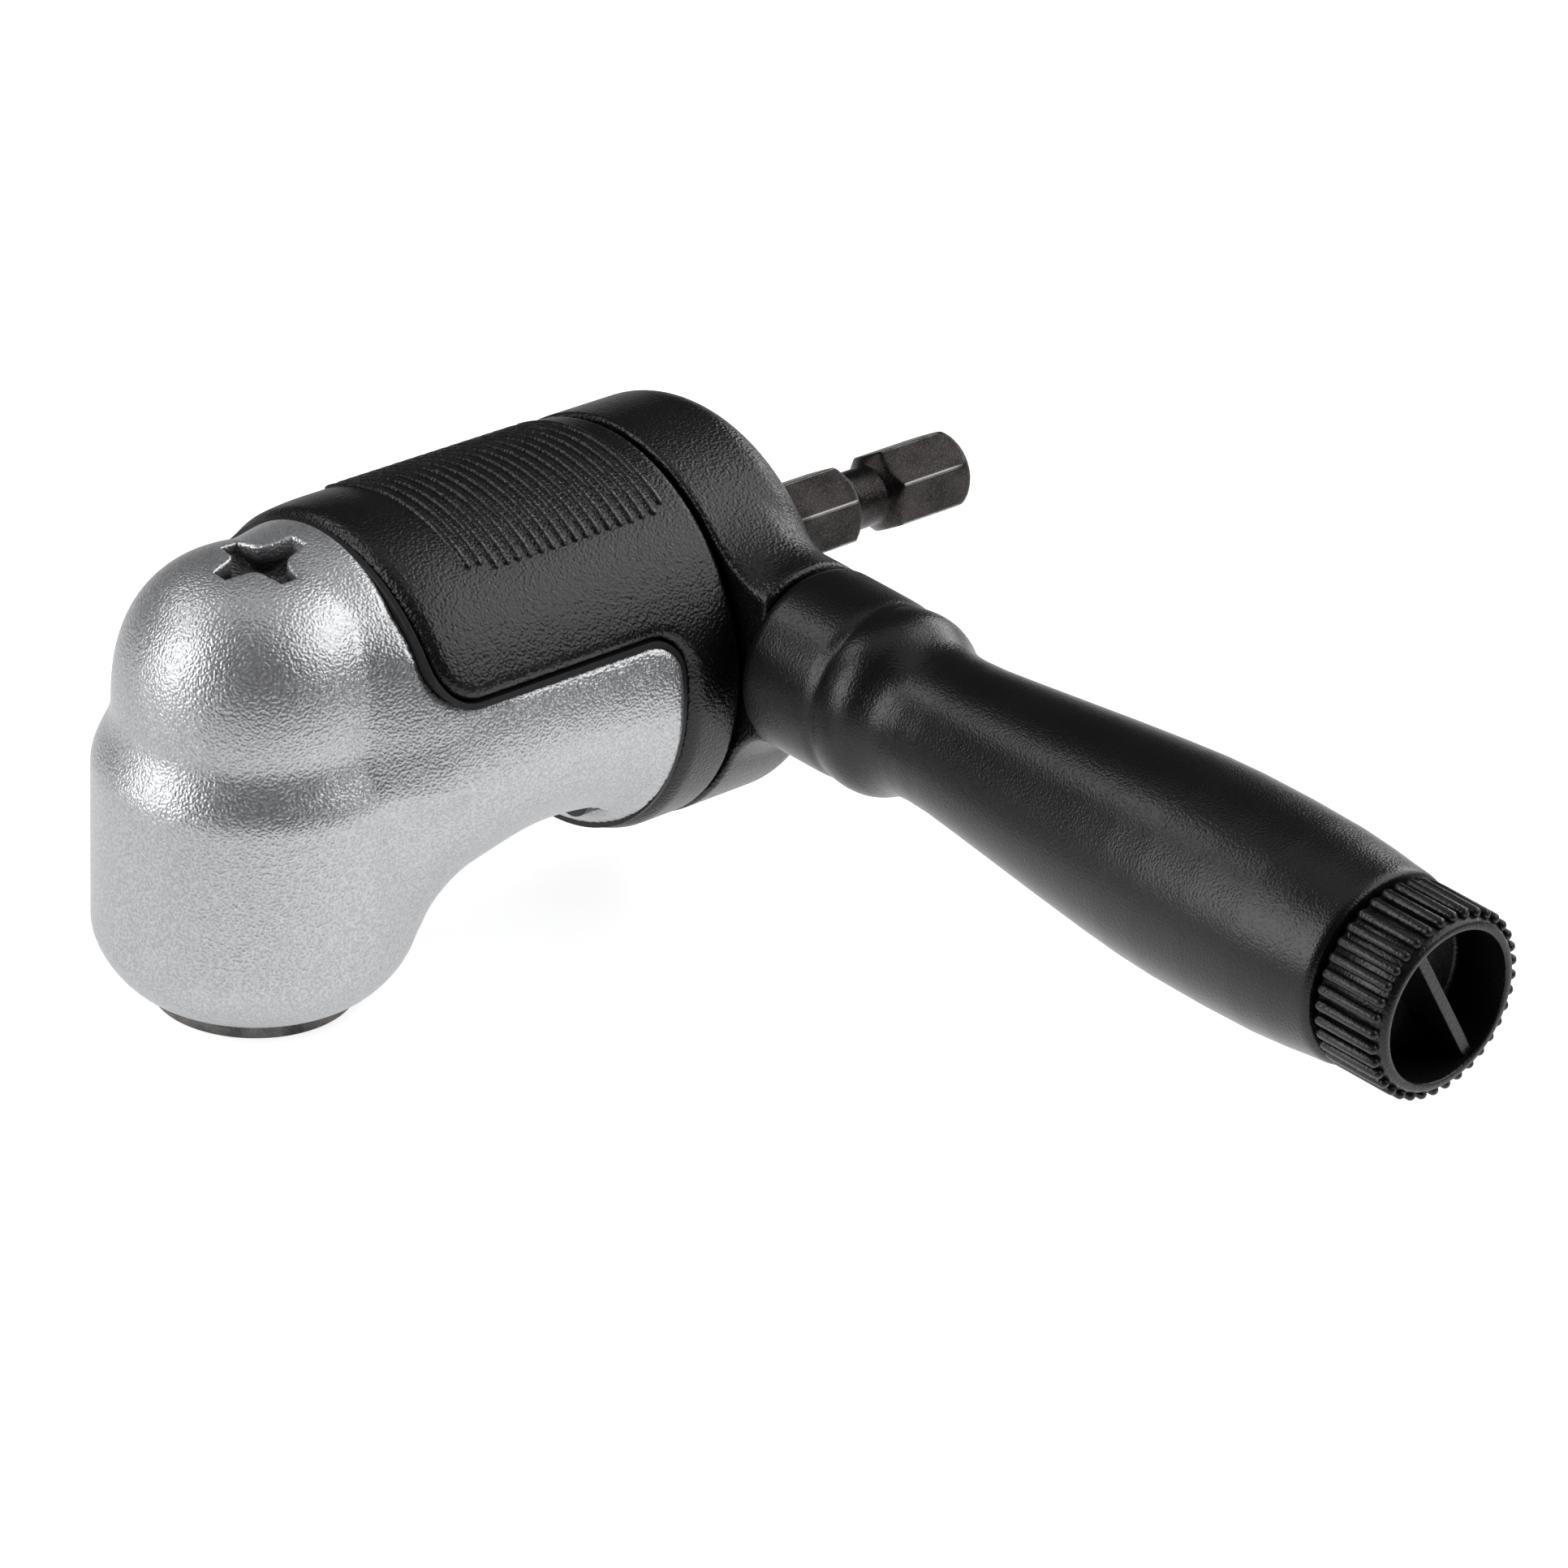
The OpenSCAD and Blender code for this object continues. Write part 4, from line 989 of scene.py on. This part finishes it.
@dataclass
class RearCollar:
    """The rear collar with the handle boss."""

    at: Layout
    radius: float = 16.6
    straight: float = 7.1
    rounding: float = 5.0
    face_r: float = 8.0
    inner_r: float = -9.0
    boss_r: float = 7.5
    boss_y: float = 18.4
    boss_edge: float = 0.45
    fillet: float = 3.2
    fillet_end_x: float = 47.0
    fillet_fade: float = 6.0
    fillet_least: float = 0.12
    seam_edge: float = 0.35
    hole_edge: float = 0.25
    shaft_hole_r: float = 4.9
    bush_r: float = 6.4
    bush_depth: float = 8.7
    insert_r: float = 3.65
    insert_depth: float = 8.4
    bolt_r: float = 2.55
    bolt_y: Pair = (-12.0, -9.0)
    grid: tuple[Triple, Triple] = ((34.9, -19.2, 4.9), (48.3, 17.4, 39.3))
    grid_steps: Pair = (0.32, 0.55)

    def outline(self) -> Outline:
        """Half outline along the body's centre line, as radius and place along it."""
        start = self.at.neck_len
        shoulder = start + self.straight
        points = [(self.inner_r, start), (self.radius, start)]
        points += arc((self.face_r, shoulder), (self.radius - self.face_r, self.rounding), 0, 90, 20)
        points.append((self.inner_r, shoulder + self.rounding))
        return Outline(points)

    def form(self) -> Form:
        """The collar's form."""
        at = self.at
        outline = self.outline()
        end = at.neck_len + self.straight + self.rounding

        def shape(x: Array, y: Array, z: Array) -> Array:
            """Distance to the collar."""
            body = outline(at.about_body(y, z), x)
            rh = np.hypot(x - at.handle_x, z - at.axis_h)
            boss = np.maximum(rh - self.boss_r, y)
            share = np.clip((self.fillet_end_x - x) / self.fillet_fade, self.fillet_least, 1)
            solid = join_round(body, boss, self.fillet * share)
            solid = meet_round(solid, -self.boss_y - y, self.boss_edge)
            solid = meet_round(solid, at.neck_len - x, self.seam_edge)
            rs = at.about_shaft(y, z)
            hole = np.minimum(rs - self.shaft_hole_r, np.maximum(rs - self.bush_r, end - self.bush_depth - x))
            solid = cut_round(solid, hole, self.hole_edge)
            insert = np.maximum(rh - self.insert_r, slab(y, -40.0, -self.boss_y + self.insert_depth))
            bolt = np.maximum(rh - self.bolt_r, slab(y, *self.bolt_y))
            return np.maximum(solid, -np.minimum(insert, bolt))

        return shape

    def build(self, finishes: Finishes) -> None:
        """Builds and dresses the collar."""
        piece = Moulder(*self.grid, *self.grid_steps).skin("collar_moulding", self.form())
        seat(piece, finishes.get("collar"), Body.HOUSING, "collar_black", "rear_collar")


@dataclass
class DriveShaft:
    """The input shaft with its hex shank."""

    at: Layout
    af: float = 6.35
    tip: float = 72.1
    tip_round: Pair = (1.1, 1.7)
    hex_start: float = 47.2
    groove_mid: float = 61.8
    groove_half: float = 2.6
    groove_r: float = 2.5
    inner_r: float = -3.0
    clear: float = 0.05
    tip_straight: float = 2.0
    hex_edge: float = 0.12
    grid_x: Pair = (4.9, 73.2)
    grid_reach: float = 5.4
    grid_steps: Pair = (0.2, 0.35)
    rows: tuple[Pair, ...] = ((3.5, 5.6), (3.5, 14.0), (5.0, 14.0), (5.0, 19.0), (4.5, 19.0), (4.5, 19.95),
                              (5.0, 19.95), (5.0, 20.8), (4.6, 20.8), (4.6, 47.2))

    def envelope(self) -> Outline:
        """Half outline of the turned form that trims the hex, as radius and place along the axis."""
        corner = self.af / math.sqrt(3)
        free = corner + self.clear
        drop = corner - self.groove_r
        low, high = self.groove_mid - self.groove_half, self.groove_mid + self.groove_half
        points = [(self.inner_r, self.rows[0][1]), *self.rows, (free, self.hex_start), (free, low)]
        points += [(self.groove_r, low + drop), (self.groove_r, high - drop), (free, high)]
        points.append((free, self.tip - self.tip_straight))
        points += arc((corner - self.tip_round[0], self.tip - self.tip_round[1]), self.tip_round, 0, 90, 7)
        points.append((self.inner_r, self.tip))
        return Outline(points, step=0.06, margin=2.0)

    def form(self) -> Form:
        """The shaft's form."""
        envelope = self.envelope()

        def shape(x: Array, y: Array, z: Array) -> Array:
            """Distance to the shaft."""
            up = z - self.at.axis_h
            slanted = np.abs(y) * 0.5 + np.abs(up) * math.sqrt(3) / 2
            flats = np.maximum(np.abs(y), slanted) - self.af / 2
            flats = np.where(x > self.hex_start, flats, -1.0)
            return meet_round(envelope(np.hypot(y, up), x), flats, self.hex_edge)

        return shape

    def build(self, finishes: Finishes) -> None:
        """Builds and dresses the shaft."""
        reach, axis_h = self.grid_reach, self.at.axis_h
        low, high = ((x, side * reach, axis_h + side * reach) for x, side in zip(self.grid_x, (-1, 1)))
        piece = Moulder(low, high, *self.grid_steps).skin("hex_shank", self.form())
        seat(piece, finishes.get("shank"), Body.INPUT, "shank_steel", "input_shaft")


@dataclass
class SideHandle:
    """The handle's grip."""

    at: Layout
    start: float = 18.5
    length: float = 62.2
    radius: float = 8.6
    edge: float = 1.5
    bore: float = 3.9
    root_r: float = 5.4
    seat_r: float = 6.28
    seat_depth: float = 3.4
    lead: float = 0.3
    span: Pair = (0.045, 0.988)
    dense: int = 1600
    rows: int = 190
    blur: tuple[int, int] = (24, 4)
    rim: tuple[Pair, ...] = ((0.06, 0.45), (0.2, 0.15), (0.45, 0))
    stations: tuple[Pair, ...] = (
        (.05, .884), (.10, .882), (.122, .878), (.132, .862), (.137, .852), (.148, .876), (.165, .886),
        (.18, .876), (.193, .845), (.207, .79), (.222, .745), (.238, .722), (.26, .715), (.30, .728),
        (.36, .77), (.44, .83), (.52, .89), (.60, .945), (.66, .98), (.72, .998), (.80, 1), (.88, .985),
        (.93, .955), (.965, .925), (.992, .905))

    def outline(self) -> list[Pair]:
        """The grip's outline, from its bore outwards, as radius and place along the axis."""
        places = np.linspace(0, 1, self.dense)
        radii = softened(np.interp(places, *np.array(self.stations).T), *self.blur)
        fine = np.linspace(*self.span, self.rows)
        smooth = self.radius * np.interp(fine, places, radii)
        first, last = float(smooth[0]), float(smooth[-1])
        start, end = self.start, self.start + self.length
        points = [(self.bore, start + self.lead), (self.bore + self.lead, start), (self.root_r, start)]
        points += arc((first - self.edge, start + self.edge), (self.edge, self.edge), -90, 0, 8)
        points += [(float(r), start + self.length * float(s)) for s, r in zip(fine, smooth)]
        points += [(last - inwards, end - back) for inwards, back in self.rim]
        points += [(self.seat_r + 0.12, end), (self.seat_r, end - 0.1), (self.seat_r, end - self.seat_depth)]
        points.append((self.bore, end - self.seat_depth))
        return points

    def build(self, finishes: Finishes) -> None:
        """Builds and dresses the grip."""
        piece = turned("handle_moulding", self.at.handle_axis(), self.outline(), 128)
        seat(piece, finishes.get("handle"), Body.HANDLE, "handle_plastic", "handle_grip")


@dataclass
class ClampKnob:
    """The ribbed knob that clamps the handle."""

    at: Layout
    start: float = 81.0
    length: float = 6.4
    root_r: float = 6.95
    outer_r: float = 7.6
    ridge_r: float = 0.44
    ridge_short: float = 0.4
    ridge_start: float = 0.12
    ridges: int = 36
    cup_r: float = 6.0
    cup_depth: float = 5.0
    floor: float = 1.15
    nut_r: float = 4.2
    stem_r: float = 6.2
    stem_t: Pair = (77.6, 80.9)
    bore_r: float = 2.6
    bore_end: float = 80.6
    front_cut: Pair = (0.1, 0.15)
    rim: tuple[Pair, ...] = ((0, 0.6), (0.25, 0.15), (0.42, 0))
    mouth: tuple[Pair, ...] = ((0.14, 0), (0.04, 0.06), (0, 0.2))
    cup_foot: tuple[Pair, ...] = ((0, 0.4), (0.12, 0.12), (0.4, 0))
    bar_w: float = 0.95
    bar_sunk: float = 0.5
    bar_round: float = 0.14
    bar_round_mid: float = 0.04
    bar_overlap: Pair = (0.05, 0.1)
    bar_angle: float = 58.0

    def cup(self) -> bpy.types.Object:
        """The knob's body with its cup and the stem inside the handle."""
        start, end = self.start, self.start + self.length
        root, cup, floor_t = self.root_r, self.cup_r, end - self.cup_depth
        points = [(self.bore_r, self.stem_t[0]), (self.stem_r, self.stem_t[0]), (self.stem_r, self.stem_t[1])]
        points += [(root - self.front_cut[0], start), (root, start + self.front_cut[1])]
        points += [(root - inwards, end - back) for inwards, back in self.rim]
        points += [(cup + outwards, end - back) for outwards, back in self.mouth]
        points += [(cup - inwards, floor_t + up) for inwards, up in (*self.cup_foot, (cup, 0))]
        floor_t -= self.floor
        points += [(0.0, floor_t), (self.nut_r, floor_t), (self.nut_r, self.bore_end)]
        points.append((self.bore_r, self.bore_end))
        return turned("knob_cup", self.at.handle_axis(), points, 144)

    def bar(self) -> bpy.types.Object:
        """The flat bar across the cup."""
        top = self.start + self.length - self.bar_sunk
        low = self.start + self.length - self.cup_depth - self.bar_overlap[1]
        half, cut, mid = self.bar_w / 2, self.bar_round, self.bar_round_mid
        side = [(half, low), (half, top - cut), (half - mid, top - mid), (half - cut, top)]
        section = side + [(-across, t) for across, t in reversed(side)]
        turn = math.radians(90 - self.bar_angle)
        axis = self.at.handle_axis()
        aside = axis.place(1, turn + math.pi / 2, 0) - axis.place(0, 0, 0)
        stations = (-1, -0.5, 0, 0.5, 1)
        reach = self.cup_r + self.bar_overlap[0]
        spots = [tuple(axis.place(s * reach, turn, t) + aside * across)
                 for s in stations for across, t in section]
        n, last = len(section), len(stations) - 1
        faces = [[k * n + i, k * n + (i + 1) % n, (k + 1) * n + (i + 1) % n, (k + 1) * n + i]
                 for k in range(last) for i in range(n)]
        faces += [list(reversed(range(n))), [last * n + i for i in range(n)]]
        return mesh_piece("knob_bar", spots, faces, smooth=False)

    def ridge_ring(self, material: bpy.types.Material) -> bpy.types.Object:
        """Stands the rounded ridges round the knob."""
        length = self.length - self.ridge_short
        tree = Tree("knob_ridges", {"Ridge radius": self.ridge_r, "Ring radius": self.outer_r - self.ridge_r,
                                    "Ridge length": length, "Count": float(self.ridges)})
        radius = tree.source["Ridge radius"]
        straight = tree.source["Ridge length"] - radius * 2.0
        ball = tree.node("GeometryNodeMeshUVSphere", {"Segments": 12, "Rings": 10, "Radius": radius})[0]
        spot = tree.node("GeometryNodeInputPosition")[0]
        side = tree.node("ShaderNodeSeparateXYZ", {0: spot})[2].math("SIGN")
        push = tree.lift(side * (straight * 0.5))
        grown = tree.node("GeometryNodeSetPosition", {"Geometry": ball, "Offset": push})[0]
        circle = {"Vertices": tree.source["Count"], "Radius": tree.source["Ring radius"]}
        ring = tree.node("GeometryNodeMeshCircle", circle)[0]
        ridges = tree.node("GeometryNodeInstanceOnPoints", {"Points": ring, "Instance": grown})[0]
        middle = self.start + self.ridge_start + length / 2
        turn = Matrix(((1, 0, 0, 0), (0, 0, -1, 0), (0, 1, 0, 0), (0, 0, 0, 1)))
        shift = Matrix.Translation((self.at.handle_x * MM, -middle * MM, self.at.axis_h * MM))
        return tree.bake("knob_ridges", ridges, shift @ turn, material)

    def build(self, finishes: Finishes) -> None:
        """Builds and dresses the knob."""
        knob = finishes.get("knob")
        seat(self.cup(), knob, Body.CLAMP, "knob_plastic", "clamp_knob")
        seat(self.bar(), knob, Body.CLAMP, "knob_plastic")
        seat(self.ridge_ring(knob), knob, Body.CLAMP, "knob_plastic")


@dataclass
class InnerParts:
    """The solids that keep their own shape and get a better finish."""

    nodes_of: dict[str, tuple[str, ...]] = field(default_factory=lambda: {
        "lip": ("inner_sleeve", "shaft_seal"), "nickel": ("bit_magnet",), "brass": ("handle_insert",),
        "black": ("collar_screws", "bearing_clip", "shaft_clip", "gear_clip", "bolt_clip"),
        "hardened": ("drive_pinion", "spindle_gear", "handle_tube", "clamp_bolt"),
        "bright": ("bearing_spacer", "bit_ring", "wave_washer"),
        "bronze": ("rear_bush", "gear_washer", "pilot_bush"), "ring": ("output_spindle", "nose_ring")})
    bearings: tuple[str, ...] = ("shaft", "upper", "lower")
    bearing_parts: tuple[str, ...] = ("inner", "outer", "balls")

    def build(self, nodes: dict[str, bpy.types.Object], finishes: Finishes) -> None:
        """Dresses each solid."""
        races = tuple(f"{where}_bearing_{part}" for where in self.bearings for part in self.bearing_parts)
        for finish, names in (*self.nodes_of.items(), ("bright", races)):
            for node in names:
                finishes.dress(nodes[node], finish)
                LOG.info("%s dressed as %s", node, finish)


@dataclass
class Studio:
    """White floor, soft lamps and the camera."""

    side: float = math.radians(43.129934)
    tilt: float = math.radians(28.092948)
    roll: float = math.radians(3.115643)
    distance: float = 500.0
    shift_px: Pair = (-648.7482, 96.00766)
    focal_px: float = 8055.773
    image_px: float = 1932.0
    sensor_mm: float = 36.0
    axis_h: float = 24.7
    aim: Triple = (0.03, -0.03, 0.02)
    world_light: float = 0.05
    floor_half: float = 3000.0
    floor_grey: Triple = (0.86, 0.86, 0.86)
    shade_shift: Triple = (-0.06, 0.04, 0)
    shade_seen: Triple = (0.5, 0.85, 0.25)
    shade_mirrored: Triple = (0.84, 0.95, 0.75)
    lamps: tuple[tuple[str, Triple, Pair, float], ...] = (
        ("left_soft", (-0.72, 0.27, 0.23), (0.44, 0.38), 2.4),
        ("left_key", (-0.55, 0.27, 0.50), (0.28, 0.28), 1.05),
        ("back_high", (-0.24, 0.55, 0.62), (0.26, 0.26), 0.9),
        ("top_soft", (0.10, 0.10, 0.80), (0.6, 0.6), 0.6),
        ("right_soft", (0.50, -0.353, 0.53), (1.0, 0.66), 4.7),
        ("back_right", (0.75, 0.13, 0.27), (0.35, 0.30), 1.3))

    def camera(self) -> None:
        """Sets the camera at the photograph's viewing place."""
        level = math.cos(self.tilt)
        look = Vector((math.sin(self.side) * level, math.cos(self.side) * level, -math.sin(self.tilt)))
        flat = Vector((math.cos(self.side), -math.sin(self.side), 0))
        rise = flat.cross(look)
        right = flat * math.cos(self.roll) + rise * math.sin(self.roll)
        up = rise * math.cos(self.roll) - flat * math.sin(self.roll)
        scale = self.distance / self.focal_px
        spot = -look * self.distance - right * (self.shift_px[0] * scale) - up * (self.shift_px[1] * scale)
        spot += Vector((0, 0, self.axis_h))
        data = bpy.data.cameras.new("photo_view")
        data.sensor_width = self.sensor_mm
        data.lens = self.focal_px / self.image_px * self.sensor_mm
        data.clip_start = 0.01
        data.clip_end = 20.0
        camera = place_object("photo_view", data)
        turn = Matrix((right, up, -look)).transposed().to_4x4()
        camera.matrix_world = Matrix.Translation(spot * MM) @ turn
        bpy.context.scene.camera = camera

    def hang_lamps(self) -> None:
        """Hangs the soft lamps: each has a name, a place, its width and height in metres, and its watts."""
        for name, spot, size, power in self.lamps:
            data = bpy.data.lights.new(name, "AREA")
            data.shape = "RECTANGLE"
            data.size, data.size_y = size
            data.energy = power
            turn = (Vector(self.aim) - Vector(spot)).to_track_quat("-Z", "Y").to_matrix().to_4x4()
            place_object(name, data).matrix_world = Matrix.Translation(spot) @ turn

    def world(self) -> None:
        """Makes the world white to the camera and faint as light."""
        world = bpy.data.worlds.new("studio")
        bpy.context.scene.world = world
        world.use_nodes = True
        bench = Bench(world.node_tree)
        sky = next(n for n in bench.tree.nodes if n.type == "BACKGROUND")
        seen = bench.node("ShaderNodeLightPath")[0]
        values = {0: seen, 2: self.world_light, 3: 1.0}
        bench.feed(sky.inputs["Strength"], bench.node("ShaderNodeMix", values, data_type="FLOAT")[0])
        bench.feed(sky.inputs["Color"], (1, 1, 1, 1))

    def floor(self) -> None:
        """Lays the white floor: each shade fades between two nearnesses and has a strength."""
        half = self.floor_half
        spots = [(-half, -half, 0), (half, -half, 0), (half, half, 0), (-half, half, 0)]
        floor = mesh_piece("studio_floor", spots, [[0, 1, 2, 3]], smooth=False)
        shop = Shop("studio_floor")
        path = shop.node("ShaderNodeLightPath")
        shop.finish(Base_Color=(*self.floor_grey, 1), Roughness=0.9, Emission_Color=(1, 1, 1, 1))
        place = shop.node("ShaderNodeMapping", {"Vector": shop.place(), "Location": self.shade_shift})[0]
        near = shop.node("ShaderNodeTexGradient", {"Vector": place}, gradient_type="SPHERICAL")[1]
        seen = path[0] * (1 - near.clamped(*self.shade_seen[:2]) * self.shade_seen[2])
        mirrored = path[3] * near.clamped(*self.shade_mirrored[:2]) * self.shade_mirrored[2]
        shop.feed(shop.shader.inputs["Emission Strength"], seen + mirrored)
        floor.data.materials.append(shop.material)

    def build(self) -> None:
        """Builds the whole studio."""
        self.camera()
        self.hang_lamps()
        self.world()
        self.floor()
        bpy.context.scene.view_settings.view_transform = "Standard"


def main() -> None:
    """Builds the tool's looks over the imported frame."""
    logging.basicConfig(level=logging.INFO, format="%(message)s")
    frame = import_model()
    finishes = Finishes()
    layout = Layout()
    for part in (GearHead, GripSleeve, RearCollar, DriveShaft, SideHandle, ClampKnob):
        part(layout).build(finishes)
    InnerParts().build(frame["nodes"], finishes)
    Studio().build()


if __name__ == "__main__":
    main()
